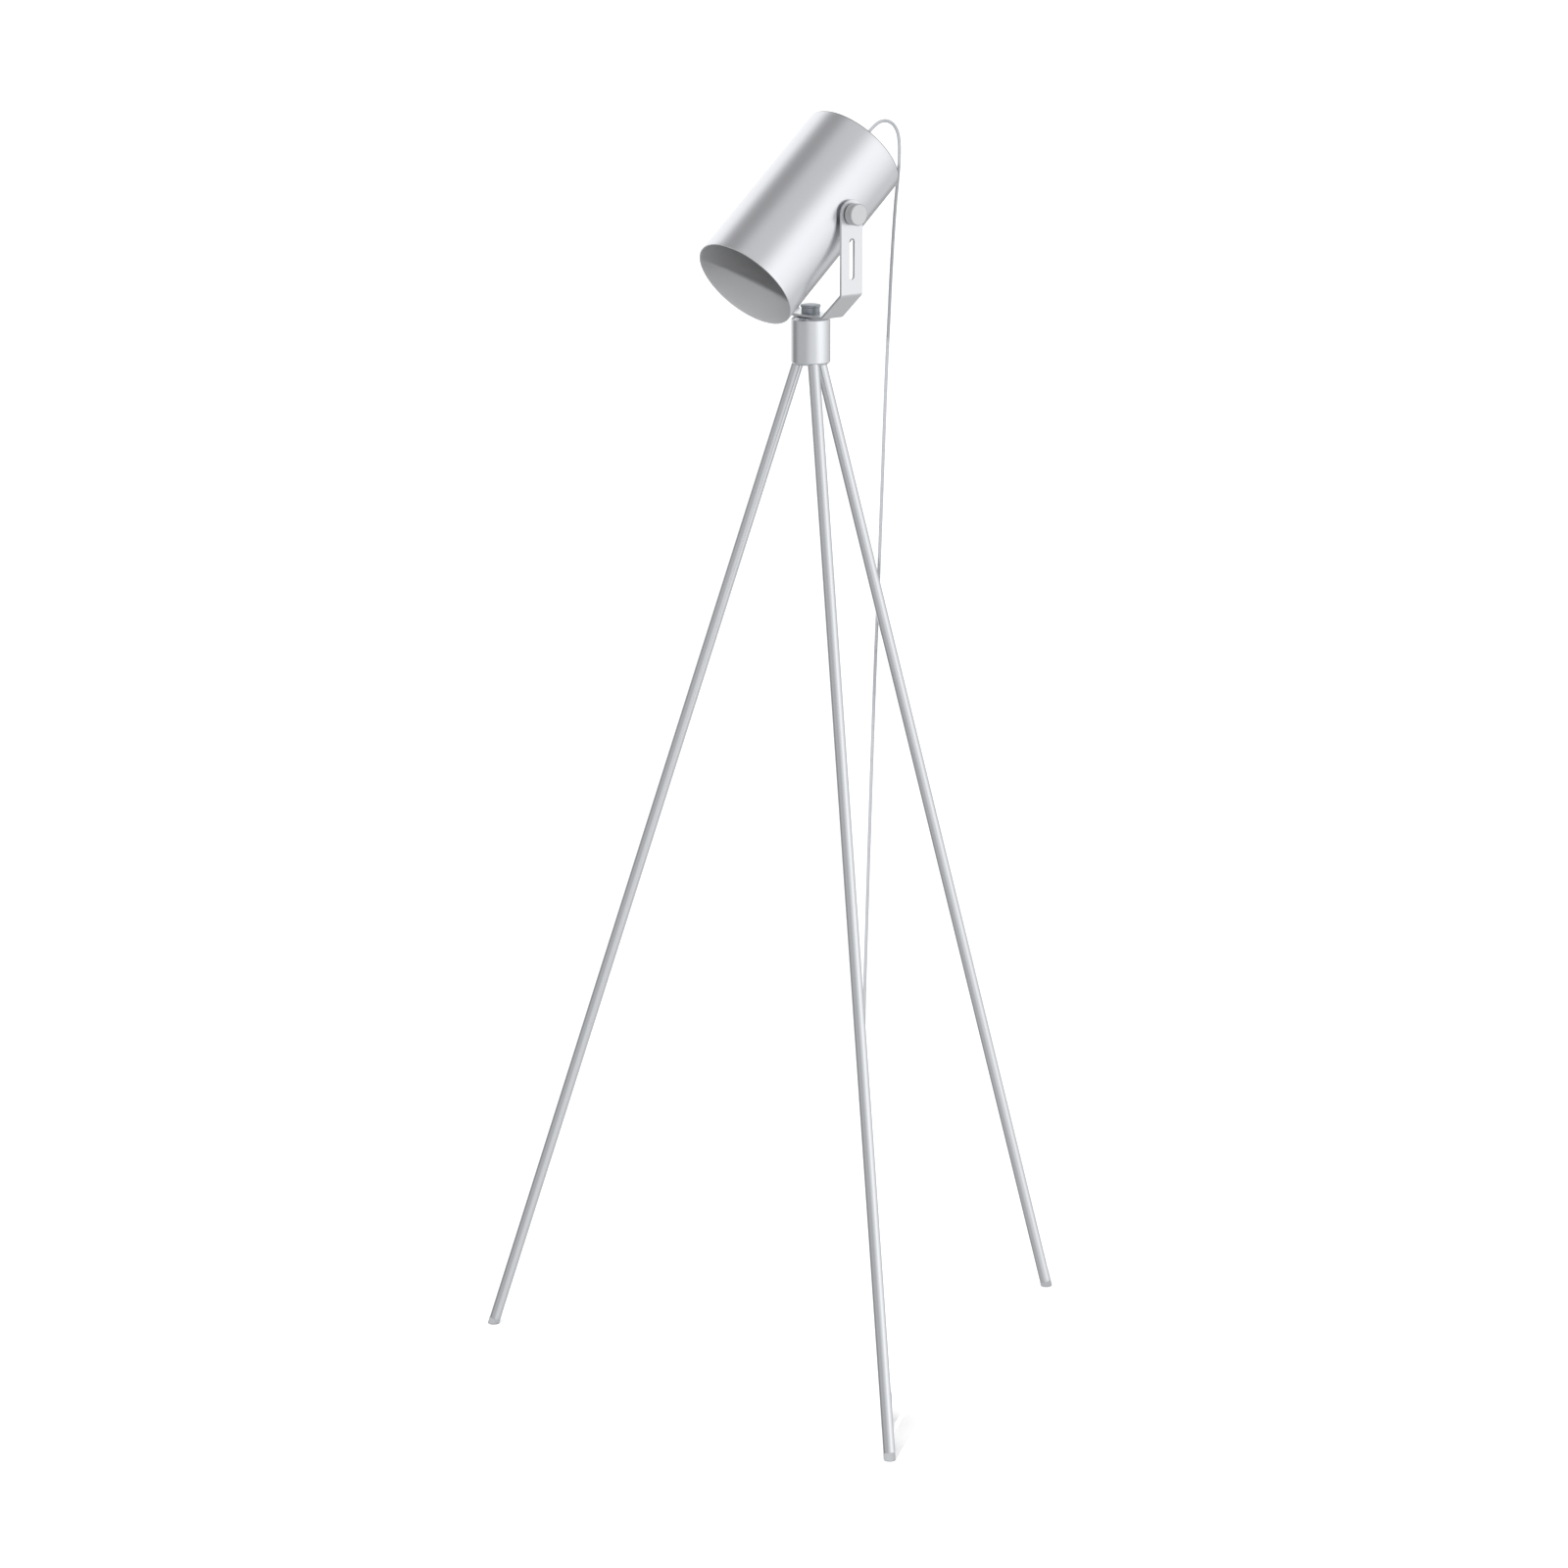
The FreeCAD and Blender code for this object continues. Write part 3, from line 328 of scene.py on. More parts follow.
def satin_metal(name, colour, rough, drawn, grain):
    """Satin metal: long fine grain along one direction and faint cloudy tone."""
    made = Finish(name)
    fine = made.noise(1200.0, 3.0, drawn)
    cloud = made.noise(14.0, 3.0)
    swing = 0.02 * grain
    made.set(
        Base_Color=made.mix(cloud, shaded(colour, 0.98), shaded(colour, 1.02)),
        Metallic=1.0,
        Roughness=fine.between(-swing, swing) + cloud.between(rough - 0.02, rough + 0.02),
    )
    return made.material


def shade_satin(back, origin, inner):
    """Satin metal outside, a duller skin inside and a painted dark line of shade along the rear
    rim.
    """
    made = Finish("shade satin")
    fine = made.noise(1000.0, 3.0, back)
    cloud = made.noise(9.0, 3.0)
    outside = made.away(back, origin).smooth_above(inner + 0.0002, inner + 0.0005)
    rear = sizes().shade_rear
    # Painted shade: the last millimetre of the outside before the rear rim is darkened to a thin
    # dark line, standing in for the dark reflection along that edge.
    rim_shade = made.along(back, origin).smooth_above(rear - 0.0013, rear - 0.0008)
    satin, inside = colour_of("satin"), colour_of("inside")
    skin = made.mix(cloud, shaded(satin, 0.985), shaded(satin, 1.015))
    paint = made.mix(cloud, shaded(inside, 0.95), shaded(inside, 1.05))
    # Paint inside; outside, the satin skin turns into the painted dark shade line near the rear
    # rim.
    made.set(
        Base_Color=made.mix(outside, paint, made.mix(rim_shade, skin, shaded(satin, 0.45))),
        Metallic=outside.between(0.2, 1.0),
        Roughness=fine.between(-0.006, 0.006) + outside.between(0.50, 0.27),
    )
    return made.material


def turned_metal(name, colour, rough, axis, origin=FLOOR_POINT):
    """Metal turned on a lathe: fine rings about an axis, over faint cloudy tone."""
    tool_step = 0.00035
    made = Finish(name)
    rings = (made.away(axis, origin) * (2 * math.pi / tool_step)).sine()
    cloud = made.noise(60.0, 3.0)
    made.set(
        Base_Color=made.mix(cloud, shaded(colour, 0.94), shaded(colour, 1.05)),
        Metallic=1.0,
        Roughness=cloud.between(rough - 0.04, rough + 0.04),
        Normal=made.bump(rings, 0.000004, 0.3),
    )
    return made.material


def moulded_plastic(name, colour, rough, grain=0.00004):
    """Moulded plastic: a fine orange-peel skin and slight tone changes."""
    made = Finish(name)
    peel = made.noise(1400.0, 2.0)
    cloud = made.noise(40.0, 2.0)
    made.set(
        Base_Color=made.mix(cloud, shaded(colour, 0.92), shaded(colour, 1.08)),
        Roughness=cloud.between(rough - 0.05, rough + 0.05),
        Normal=made.bump(peel, grain, 0.4),
    )
    return made.material


def cord_sheath(name, colour):
    """Soft extruded sheath: dull sheen with faint scuffs."""
    made = Finish(name)
    skin = made.noise(700.0, 2.0)
    scuff = made.noise(90.0, 4.0).smooth_above(0.52, 0.75)
    made.set(
        Base_Color=made.mix(scuff, colour, shaded(colour, 0.9)),
        Roughness=scuff.between(0.42, 0.57),
        Specular_IOR_Level=0.45,
        Normal=made.bump(skin, 0.00003, 0.4),
    )
    return made.material


def studio_paper():
    """Matt pale paper with a faint cloudy tone."""
    made = Finish("studio paper")
    grain = made.noise(30.0, 3.0)
    pale = colour_of("floor")
    made.set(Base_Color=made.mix(grain, shaded(pale, 0.995), pale), Roughness=0.9)
    return made.material


# ---- surfaces --------------------------------------------------------------

def add_piece(name, points, faces, flat=0):
    """One object at the origin, smooth but for its last faces, as many as flat says.

    Those are shaded flat, with sharp edges round them, so that they don't bend the
    normals of the smooth faces beside them.
    """
    mesh = bpy.data.meshes.new(name)
    mesh.from_pydata(points.tolist(), [], faces)
    first = len(faces) - flat
    mesh.polygons.foreach_set("use_smooth", np.arange(len(faces)) < first)
    if flat:
        used = np.zeros(len(mesh.loops), np.int32)
        mesh.loops.foreach_get("edge_index", used)
        sharp = np.zeros(len(mesh.edges), bool)
        sharp[used[mesh.polygons[first].loop_start:]] = True
        mesh.edges.foreach_set("use_edge_sharp", sharp)
    mesh.update()
    piece = bpy.data.objects.new(name, mesh)
    bpy.context.scene.collection.objects.link(piece)
    return piece


def outward(piece):
    """Turns a closed piece's faces outwards, by the sign of its volume.

    Six times the volume is the sum over its triangles of a . (b x c).
    """
    mesh = piece.data
    mesh.calc_loop_triangles()
    corners = np.zeros(len(mesh.loop_triangles) * 3, np.int32)
    mesh.loop_triangles.foreach_get("vertices", corners)
    points = np.zeros(len(mesh.vertices) * 3)
    mesh.vertices.foreach_get("co", points)
    a, b, c = points.reshape(-1, 3)[corners.reshape(-1, 3)].transpose(1, 0, 2)
    if np.sum(a * np.cross(b, c)) < 0:
        mesh.flip_normals()
    return piece


def grid_faces(rows, columns, closed):
    """Quads of a grid whose columns join round, and whose rows do where closed."""
    r = np.arange(rows if closed else rows - 1)
    r, c = (a.ravel() for a in np.meshgrid(r, np.arange(columns), indexing="ij"))
    below, beside = (r + 1) % rows * columns, (c + 1) % columns
    here = r * columns
    return np.stack([here + c, below + c, below + beside, here + beside], 1).tolist()


def ring_piece(name, rings):
    """A piece from rings of points, the last of which joins the first."""
    faces = grid_faces(rings.shape[0], rings.shape[1], True)
    return outward(add_piece(name, rings.reshape(-1, 3), faces))


def capped_piece(name, rings, first_pole, last_pole):
    """A piece from rings of points, closed by a flat fan to a pole at either end."""
    count = rings.shape[1]
    points = np.concatenate([rings.reshape(-1, 3), [first_pole, last_pole]])
    here = np.arange(count)
    beside = (here + 1) % count
    last = (len(rings) - 1) * count
    pole = np.full(count, len(points) - 2)
    faces = grid_faces(len(rings), count, False)
    faces += np.stack([here, beside, pole], 1).tolist()
    faces += np.stack([last + beside, last + here, pole + 1], 1).tolist()
    return outward(add_piece(name, points, faces, 2 * count))


def frame_of(axis):
    """An axis as a unit vector, with two more that are square to it."""
    axis = np.asarray(axis, float) / np.linalg.norm(axis)
    first = np.cross(axis, X_AXIS if abs(axis[0]) < 0.9 else Y_AXIS)
    first /= np.linalg.norm(first)
    return axis, first, np.cross(axis, first)


def rounded(profile, radius, steps=5):
    """A profile with every corner cut by a short curve.

    Each corner is replaced by points of the quadratic curve from a point radius
    before it to a point radius after it, with the corner as its control point.
    """
    p = np.asarray(profile, float)
    before, after = np.roll(p, 1, 0) - p, np.roll(p, -1, 0) - p
    reach_before = np.minimum(radius / np.linalg.norm(before, axis=1), 0.45)[:, None]
    reach_after = np.minimum(radius / np.linalg.norm(after, axis=1), 0.45)[:, None]
    start, end = p + before * reach_before, p + after * reach_after
    t = np.linspace(0, 1, steps)[None, :, None]
    curve = start[:, None] * (1 - t) ** 2 + 2 * p[:, None] * t * (1 - t) + end[:, None] * t ** 2
    return curve.reshape(-1, 2)


def revolved(profile, origin, axis, count, wave=None):
    """Rings of points from a profile of (radius, height) carried round an axis.

    The point at turn u is origin + height axis + radius (cos u first + sin u second),
    where wave, a function of turn, height and radius, may add to the radius.
    """
    axis, first, second = frame_of(axis)
    u = np.linspace(0, 2 * np.pi, count, endpoint=False)[None, :]
    radius, height = profile[:, :1], profile[:, 1:]
    if wave is not None:
        radius = radius + wave(u, height, radius)
    spoke = np.cos(u)[..., None] * first + np.sin(u)[..., None] * second
    return np.asarray(origin, float) + height[..., None] * axis + radius[..., None] * spoke


def turned_tube(name, outer, inner, places, origin, axis, count, radius, wave=None):
    """A tube between two radii, with rings at the given places along its axis."""
    profile = [(outer, h) for h in places] + [(inner, h) for h in places[::-1]]
    profile = rounded(profile, radius) if radius else np.array(profile)
    return ring_piece(name, revolved(profile, origin, axis, count, wave))


def turned_solid(name, profile, origin, axis, count, radius, steps=5):
    """A solid from an open profile of (radius, height) that ends on the axis.

    The profile is closed by its mirror image so that its corners can be rounded,
    and the part between its two ends on the axis is carried round.
    """
    p = np.asarray(profile, float)
    p = rounded(np.concatenate([p, p[-2:0:-1] * (-1, 1)]), radius, steps)
    rings = revolved(p[steps:(len(profile) - 1) * steps], origin, axis, count)
    low, high = (np.asarray(origin) + profile[k][1] * np.asarray(axis) for k in (0, -1))
    return capped_piece(name, rings, low, high)


def tube_along(name, path, radii, count=20):
    """A round rod: path(v) + radius(v) (cos u side(v) + sin u other(v)).

    Side is carried along the path without twist: each is the last one less its
    part along the new tangent.
    """
    tangent = np.gradient(path, axis=0)
    tangent /= np.linalg.norm(tangent, axis=1, keepdims=True)
    sides = [frame_of(tangent[0])[1]]
    for t in tangent[1:]:
        side = sides[-1] - t * np.dot(sides[-1], t)
        sides.append(side / np.linalg.norm(side))
    side = np.array(sides)[:, None]
    other = np.cross(tangent, np.array(sides))[:, None]
    u = np.linspace(0, 2 * np.pi, count, endpoint=False)[None, :, None]
    radii = np.broadcast_to(radii, len(path))[:, None, None]
    rings = path[:, None] + radii * (np.cos(u) * side + np.sin(u) * other)
    return capped_piece(name, rings, path[0], path[-1])


def smooth_line(route, resolution=8):
    """Points of the smooth line that has the route's points as its controls."""
    curve = bpy.data.curves.new("route", "CURVE")
    curve.dimensions = "3D"
    spline = curve.splines.new("NURBS")
    spline.points.add(len(route) - 1)
    spline.points.foreach_set("co", np.c_[np.asarray(route), np.ones(len(route))].ravel())
    spline.order_u = 3
    spline.use_endpoint_u = True
    spline.resolution_u = resolution
    holder = bpy.data.objects.new("route", curve)
    mesh = bpy.data.meshes.new_from_object(holder)
    line = np.zeros(len(mesh.vertices) * 3)
    mesh.vertices.foreach_get("co", line)
    bpy.data.objects.remove(holder)
    bpy.data.curves.remove(curve)
    bpy.data.meshes.remove(mesh)
    line = line.reshape(-1, 3)
    keep = np.r_[True, np.linalg.norm(np.diff(line, axis=0), axis=1) > 1e-6]
    return line[keep]


def wear(piece, material):
    piece.data.materials.clear()
    piece.data.materials.append(material)


def dress(piece, body, material, slot, *nodes):
    """Gives a piece its finish, its body and the nodes that it stands for."""
    wear(piece, material)
    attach(piece, body)
    if nodes:
        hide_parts(*nodes)
    return piece


def dress_node(node, material, bevel=0.0002, limit=30.0, joined=False):
    """Finishes a solid of the frame: welded, softly bevelled and flat where it is flat.

    Where joined, its triangles that lie in one plane are made into one face first.
    """
    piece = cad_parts[node]
    wear(piece, material)
    piece.data.polygons.foreach_set("use_smooth", np.full(len(piece.data.polygons), True))
    weld = piece.modifiers.new("Weld", "WELD")
    weld.merge_threshold = 0.000002
    if joined:
        plain = piece.modifiers.new("Joined", "DECIMATE")
        plain.decimate_type = "DISSOLVE"
        plain.angle_limit = math.radians(0.2)
    if bevel:
        edge = piece.modifiers.new("Bevel", "BEVEL")
        edge.width = bevel
        edge.segments = 2
        edge.limit_method = "ANGLE"
        edge.angle_limit = math.radians(limit)
        flat = piece.modifiers.new("Normals", "WEIGHTED_NORMAL")
        flat.mode = "FACE_AREA"
        flat.weight = 100
    else:
        split = piece.modifiers.new("EdgeSplit", "EDGE_SPLIT")
        split.split_angle = math.radians(limit)
    return piece


# ---- places ----------------------------------------------------------------

def leg_lean():
    return math.atan2(sizes().foot_circle, sizes().apex_height)


def apex():
    """Point at which the legs' axes meet."""
    return Z_AXIS * sizes().apex_height


def leg_down(name):
    """Unit vector down a leg's axis."""
    turn = math.radians(LEG_AZIMUTHS[name])
    out = np.array([math.cos(turn), math.sin(turn), 0.0])
    return out * math.sin(leg_lean()) - Z_AXIS * math.cos(leg_lean())


def leg_point(name, height):
    """Point of a leg's axis at a height above the floor."""
    return apex() + leg_down(name) * (sizes().apex_height - height) / math.cos(leg_lean())


def head_turn():
    """Rotation that tilts the level head, nose down."""
    return np.array(Matrix.Rotation(sizes().tilt, 3, "X"))


def head_origin():
    """Point of the shade's axis beside the pivot."""
    return head_turn() @ (Z_AXIS * sizes().axis_rise) + Z_AXIS * sizes().pivot_height


def head_back():
    """Direction along the shade's axis, from mouth to cap."""
    return head_turn() @ Y_AXIS


# ---- the hank of cord behind the right leg ---------------------------------

HANK_HEIGHT = 0.061
HANK_AZIMUTH = 137.2
HANK_HALF_RUN = 0.030
HANK_INNER_BEND = 0.012
HANK_GROWTH = 0.005
HANK_TURNS = 3.5
HANK_STEPS = 24
HANK_LAYER = 0.0047
HANK_WAIST_DRAW = 0.0065
HANK_TO_LEG = 0.0004
HANK_LEAD = 0.004
PLUG_MID_HEIGHT = 0.0175
PLUG_BEHIND_HANK = 0.056


def hank_level():
    """Level direction in which the cord leaves the hank for the plug."""
    turn = math.radians(HANK_AZIMUTH)
    return np.array([math.cos(turn), math.sin(turn), 0.0])


def hank_frame():
    """Unit vectors down the right leg, behind it and across it."""
    down = leg_down("right")
    across = np.cross(hank_level(), down)
    across /= np.linalg.norm(across)
    return down, np.cross(down, across), across


def hank_route():
    """The folded cord behind the leg: where it is entered, its points, and its end.

    Each turn is a run down, a half circle, a run up and a half circle, an eighth
    each for e = 0 to 1, 1 to 3, 3 to 5, 5 to 7 and 7 to 8. Its radius is inner
    + growth |middle - turns|, pulled in at the waist by a cosine, and it changes
    layer along the middle run.
    """
    middle = HANK_TURNS / 2
    outer = HANK_INNER_BEND + HANK_GROWTH * middle
    clear = sizes().leg_diameter / 2 + HANK_TO_LEG
    back = clear + outer + sizes().cord_diameter / 2
    waist = leg_point("right", HANK_HEIGHT)
    down, behind, across = hank_frame()
    t = np.arange(0, int(HANK_TURNS * HANK_STEPS) + 1) / HANK_STEPS
    r = HANK_INNER_BEND + HANK_GROWTH * np.abs(middle - t)
    e = (t % 1.0) * 8
    near = (e > 0.99) & (e < 3.01)
    side = np.where(near, -1.0, 1.0)
    run = np.where(near, e - 2, 6 - e)
    bottom = (e > 3) & (e < 5)
    bend = (e < 1) | bottom | (e > 7)
    turn = np.select([e < 1, bottom, e > 7], [e, e - 4, e - 8], 0.0) * math.pi / 2
    sign = np.where(bottom, 1.0, -1.0)
    along = np.where(bend, sign * (HANK_HALF_RUN + r * np.cos(turn)), HANK_HALF_RUN * run)
    waisted = r - HANK_WAIST_DRAW * (1 + np.cos(np.pi * run)) / 2
    away = np.where(bend, sign * np.sin(turn) * r, side * waisted)
    climb = np.clip((t - (middle - 0.125)) / 0.25, 0, 1)
    shift = HANK_LAYER * (0.5 - climb)
    points = (waist + along[:, None] * down + (back + away)[:, None] * behind
              + shift[:, None] * across)
    roll = math.asin(-behind[2])
    lowest = (waist + down * (HANK_HALF_RUN + outer * math.cos(roll))
              + behind * (back + outer * math.sin(roll)) - across * HANK_LAYER / 2)
    entered = points[0] + behind * HANK_LEAD
    return entered, [*points, lowest], lowest + hank_level() * HANK_LEAD


def plug_entry(hank_end):
    """Where the cord enters the plug's strain relief, at the plug's mid height."""
    level = hank_level()
    foot = leg_point("right", PLUG_MID_HEIGHT)
    return foot + level * (np.dot(hank_end - foot, level) + PLUG_BEHIND_HANK)


# ---- operators -------------------------------------------------------------

class LAMP_OT_camera(bpy.types.Operator):
    """Place the camera at the photograph's viewing angle"""

    bl_idname = "lamp.camera"
    bl_label = "Camera"

    def execute(self, context):
        data = bpy.data.cameras.new("camera")
        data.lens = 135.3
        data.sensor_width = 36.0
        data.clip_end = 60.0
        camera = bpy.data.objects.new("camera", data)
        context.scene.collection.objects.link(camera)
        camera.location = (5.06125, -4.72627, 2.2315)
        look = Vector((-0.71696, 0.66344, -0.21380))
        camera.rotation_mode = "QUATERNION"
        camera.rotation_quaternion = look.to_track_quat("-Z", "Y")
        context.scene.camera = camera
        return {"FINISHED"}


class LAMP_OT_cord(bpy.types.Operator):
    """Lay the cord from the grip over its loop to the hank and the plug"""

    bl_idname = "lamp.cord"
    bl_label = "Cord"

    def execute(self, context):
        sheath = cord_sheath("cord sheath", colour_of("cord"))
        self.over_head(sheath)
        self.to_plug(sheath)
        return {"FINISHED"}

    def over_head(self, sheath):
        """The loop that leaves the grip straight and falls behind the bracket."""
        s = sizes()
        straight = 0.016
        leaving = head_origin() + head_back() * (s.cap_face + s.grip_length)
        line = smooth_line([leaving, leaving + head_back() * straight, *LOOP_ROUTE])
        piece = tube_along("cord_over_head", line, s.cord_diameter / 2)
        wear(piece, sheath)
        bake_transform(piece)
        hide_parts("cord_loop")

    def to_plug(self, sheath):
        """The drop, the hank and the lead, with the plug on its end."""
        s = sizes()
        entered, hank, end = hank_route()
        entry, level = plug_entry(end), hank_level()
        into_hank = entered + hank_frame()[1] * 0.022
        ease = level * np.dot(entry - end, level) * 0.29
        route = [*DROP_ROUTE, into_hank, *hank, end, end + ease, entry - ease, entry]
        line = smooth_line(route, 4)
        piece = tube_along("cord_to_plug", line, s.cord_diameter / 2, 16)
        wear(piece, sheath)
        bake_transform(piece)
        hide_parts("cord_drop", "cord_hank", "cord_lead")
        skin = moulded_plastic("plug skin", colour_of("cord"), 0.38)
        relief, body = self.relief(entry, level, skin), self.plug(entry, level, skin)
        pins = self.pins(entry + level * (s.relief_length + s.plug_length), level)
        tie = dress_node("cord_tie", moulded_plastic("tie skin", colour_of("ties"), 0.5))

    def relief(self, entry, level, skin):
        """Tapered sleeve: radius start + growth v + depth clip(sin 10 pi v)."""
        start, growth, depth = 0.00245, 0.0013, 0.000245
        v = np.linspace(0, 1, 67)
        radii = start + growth * v + depth * np.clip(np.sin(10 * np.pi * v), -0.2, 0.6)
        path = entry + (sizes().relief_length * v)[:, None] * level
        made = tube_along("plug_strain_relief", path, radii, 48)
        return dress(made, "stand", skin, "cord_skin", "plug_relief")

    def plug(self, entry, level, skin):
        """Flat moulded body: rounded-box sections that widen along the plug.

        The section at place v is (sign(cos u) |cos u|^k height(v),
        sign(sin u) |sin u|^k depth(v)), with k small enough for a flat face. Its
        height eases from neck to shoulder, and both ends close by a quarter circle.
        """
        neck, widening, thin, thickening, k = 0.0065, 0.0110, 0.0045, 0.0018, 0.42
        v = np.linspace(0, 1, 60)
        shoulder = np.clip(v / 0.45, 0, 1)
        height = neck + widening * shoulder * shoulder * (3 - 2 * shoulder)
        depth = thin + thickening * np.clip(v / 0.30, 0, 1) ** 0.7
        far_end = np.sqrt(np.clip(1 - np.clip((v - 0.955) / 0.045, 0, 1) ** 2, 0.55, 1))
        cord_end = np.sqrt(np.clip(1 - np.clip((0.05 - v) / 0.05, 0, 1) ** 2, 0.5, 1))
        scale = (far_end * cord_end)[:, None]
        u = np.linspace(0, 2 * np.pi, 72, endpoint=False)[None, :]
        up = np.sign(np.cos(u)) * np.abs(np.cos(u)) ** k * height[:, None] * scale
        out = np.sign(np.sin(u)) * np.abs(np.sin(u)) ** k * depth[:, None] * scale
        centre = entry + (sizes().relief_length + sizes().plug_length * v)[:, None] * level
        rings = centre[:, None] + up[..., None] * Z_AXIS + out[..., None] * np.cross(level, Z_AXIS)
        made = capped_piece("plug_moulding", rings, centre[0], centre[-1])
        return dress(made, "stand", skin, "cord_skin", "plug_body")

    def pins(self, face, level):
        """Two round pins with a dark sleeve over their roots."""
        from_middle, pin, sleeve, sleeved = 0.0093, 0.00195, 0.0020, 0.009
        nickel = turned_metal("pin nickel", colour_of("pins"), 0.22, level, face)
        dark = moulded_plastic("pin sleeve", colour_of("sleeves"), 0.45)
        profile = [(0, 0.0), (pin, 0.0), (pin, sizes().pin_length), (0, sizes().pin_length)]
        made = []
        for name, side in (("upper", 1), ("lower", -1)):
            root = face + Z_AXIS * side * from_middle
            rod = turned_solid("plug_pin_" + name, profile, root, level, 40, 0.0009)
            made.append(dress(rod, "stand", nickel, "pin_metal", "plug_pins"))
            cover = turned_tube(
                "pin_sleeve_" + name, sleeve, pin, (0.0, sleeved), root, level, 40, 0.0
            )
            made.append(dress(cover, "stand", dark, "pin_metal"))
        return made


class LAMP_OT_tripod(bpy.types.Operator):
    """Turn the hub and stand it on its three tube legs"""

    bl_idname = "lamp.tripod"
    bl_label = "Tripod"

    def execute(self, context):
        self.hub()
        feet = moulded_plastic("foot plastic", colour_of("feet"), 0.45)
        steel = turned_metal("stud steel", colour_of("steel"), 0.35, Z_AXIS)
        for name in LEG_AZIMUTHS:
            self.leg(name)
            dress_node("foot_" + name, feet, 0.0, 38.0)
            dress_node("leg_stud_" + name, steel)
        return {"FINISHED"}

    def hub(self):
        """Chamfered cylinder that the legs screw into."""
        s = sizes()
        top, bottom = s.hub_top, s.hub_top - s.hub_height
        r, k = s.hub_diameter / 2, s.hub_chamfer
        profile = [(0, bottom), (r - k, bottom), (r, bottom + k), (r, top - k),
                   (r - k, top), (0, top)]
        piece = turned_solid("hub_turned", profile, FLOOR_POINT, Z_AXIS, 160, 0.0004)
        satin = satin_metal("hub satin", colour_of("hub"), 0.25, Z_AXIS, 0.6)
        dress(piece, "stand", satin, "hub_metal", "hub")

    def leg(self, name):
        """Open tube down a leg's axis, with rings close to its two ends."""
        s = sizes()
        near_end = 0.006
        first = s.leg_top_gap
        last = math.hypot(s.apex_height, s.foot_circle) - s.foot_collar
        places = np.array([first, first + near_end, last - near_end, last])
        outer = s.leg_diameter / 2
        down = leg_down(name)
        piece = turned_tube(
            "leg_tube_" + name, outer, outer - s.leg_wall, places, apex(), down, 96, 0.0002
        )
        satin = satin_metal("leg satin " + name, colour_of("legs"), 0.20, down, 0.8)
        dress(piece, "stand", satin, "leg_metal", "leg_" + name)


class LAMP_OT_bracket(bpy.types.Operator):
    """Finish the bent bracket with its swivel knob and washers"""

    bl_idname = "lamp.bracket"
    bl_label = "Bracket"

    def execute(self, context):
        strip = satin_metal("bracket satin", colour_of("bracket"), 0.33, X_AXIS, 0.8)
        dress_node("bracket", strip, 0.00035, 40.0, True)
        dark = moulded_plastic("dark washer", colour_of("washers"), 0.5)
        dress_node("swivel_washer", dark, 0.0001)
        grey = moulded_plastic("grey washer", colour_of("side_washers"), 0.5)
        for name in SIDES:
            dress_node("side_washer_" + name, grey, 0.0001)
        steel = turned_metal("screw steel", colour_of("steel"), 0.3, Z_AXIS)
        dress_node("swivel_screw", steel)
        self.swivel_knob()
        return {"FINISHED"}

    def swivel_knob(self):
        """Turned knob: a plain body under a wider, bevelled rim."""
        rim_step, rim_slope, bevel = 0.001, 0.001, 0.0008
        base, r = sizes().base_top, sizes().swivel_knob / 2
        rim, top = base + 0.0068, base + 0.0103
        body = r - rim_step
        profile = [(0, base), (body, base), (body, rim), (r, rim + rim_slope),
                   (r, top - 0.0007), (r - bevel, top), (0, top)]
        knob = turned_solid("swivel_knob_turned", profile, FLOOR_POINT, Z_AXIS, 96, 0.0003)
        metal = turned_metal("swivel knob metal", colour_of("swivel"), 0.50, Z_AXIS)
        dress(knob, "swivel_knob", metal, "swivel_knob_metal", "swivel_knob")


class LAMP_OT_knobs(bpy.types.Operator):
    """Turn the two side knobs and their screws"""

    bl_idname = "lamp.knobs"
    bl_label = "Side knobs"

    def execute(self, context):
        s = sizes()
        pivot = Z_AXIS * s.pivot_height
        metal = turned_metal("side knob metal", colour_of("knobs"), 0.42, X_AXIS, pivot)
        steel = turned_metal("side screw steel", colour_of("steel"), 0.3, X_AXIS, pivot)
        back_bevel, front_bevel = 0.0005, 0.001
        back, r = s.arm_face + s.washer, s.knob_diameter / 2
        front = back + s.knob_length
        profile = [(0, back), (r - back_bevel, back), (r, back + back_bevel),
                   (r, front - front_bevel), (r - front_bevel, front), (0, front)]
        for name, side in SIDES.items():
            knob = turned_solid(
                "side_knob_turned_" + name, profile, pivot, X_AXIS * side, 128, 0.00022
            )
            dress(knob, "knob_" + name, metal, "knob_metal", "side_knob_" + name)
            dress_node("side_screw_" + name, steel)
        return {"FINISHED"}


class LAMP_OT_shade(bpy.types.Operator):
    """Roll the shade and close it with its vented cap"""

    bl_idname = "lamp.shade"
    bl_label = "Shade"

    def execute(self, context):
        s = sizes()
        back, origin = head_back(), head_origin()
        outer = s.shade_diameter / 2
        inner = outer - s.shade_wall
        near_end = 0.006
        front, rear = -s.shade_front, s.shade_rear
        places = np.array([front, front + near_end, 0.0, rear - near_end, rear])
        shade = turned_tube("shade_tube", outer, inner, places, origin, back, 256, 0.0004)
        dress(shade, "head", shade_satin(back, origin, inner), "shade_metal", "shade")
        dress_node("rear_cap", satin_metal("cap satin", colour_of("satin"), 0.36, X_AXIS, 0.6))
        grey = moulded_plastic("spacer plastic", colour_of("spacers"), 0.5)
        brass = turned_metal("insert brass", colour_of("brass"), 0.3, X_AXIS, origin)
        for name in SIDES:
            dress_node("spacer_" + name, grey, 0.0001)
            dress_node("insert_" + name, brass, 0.0001)
        return {"FINISHED"}


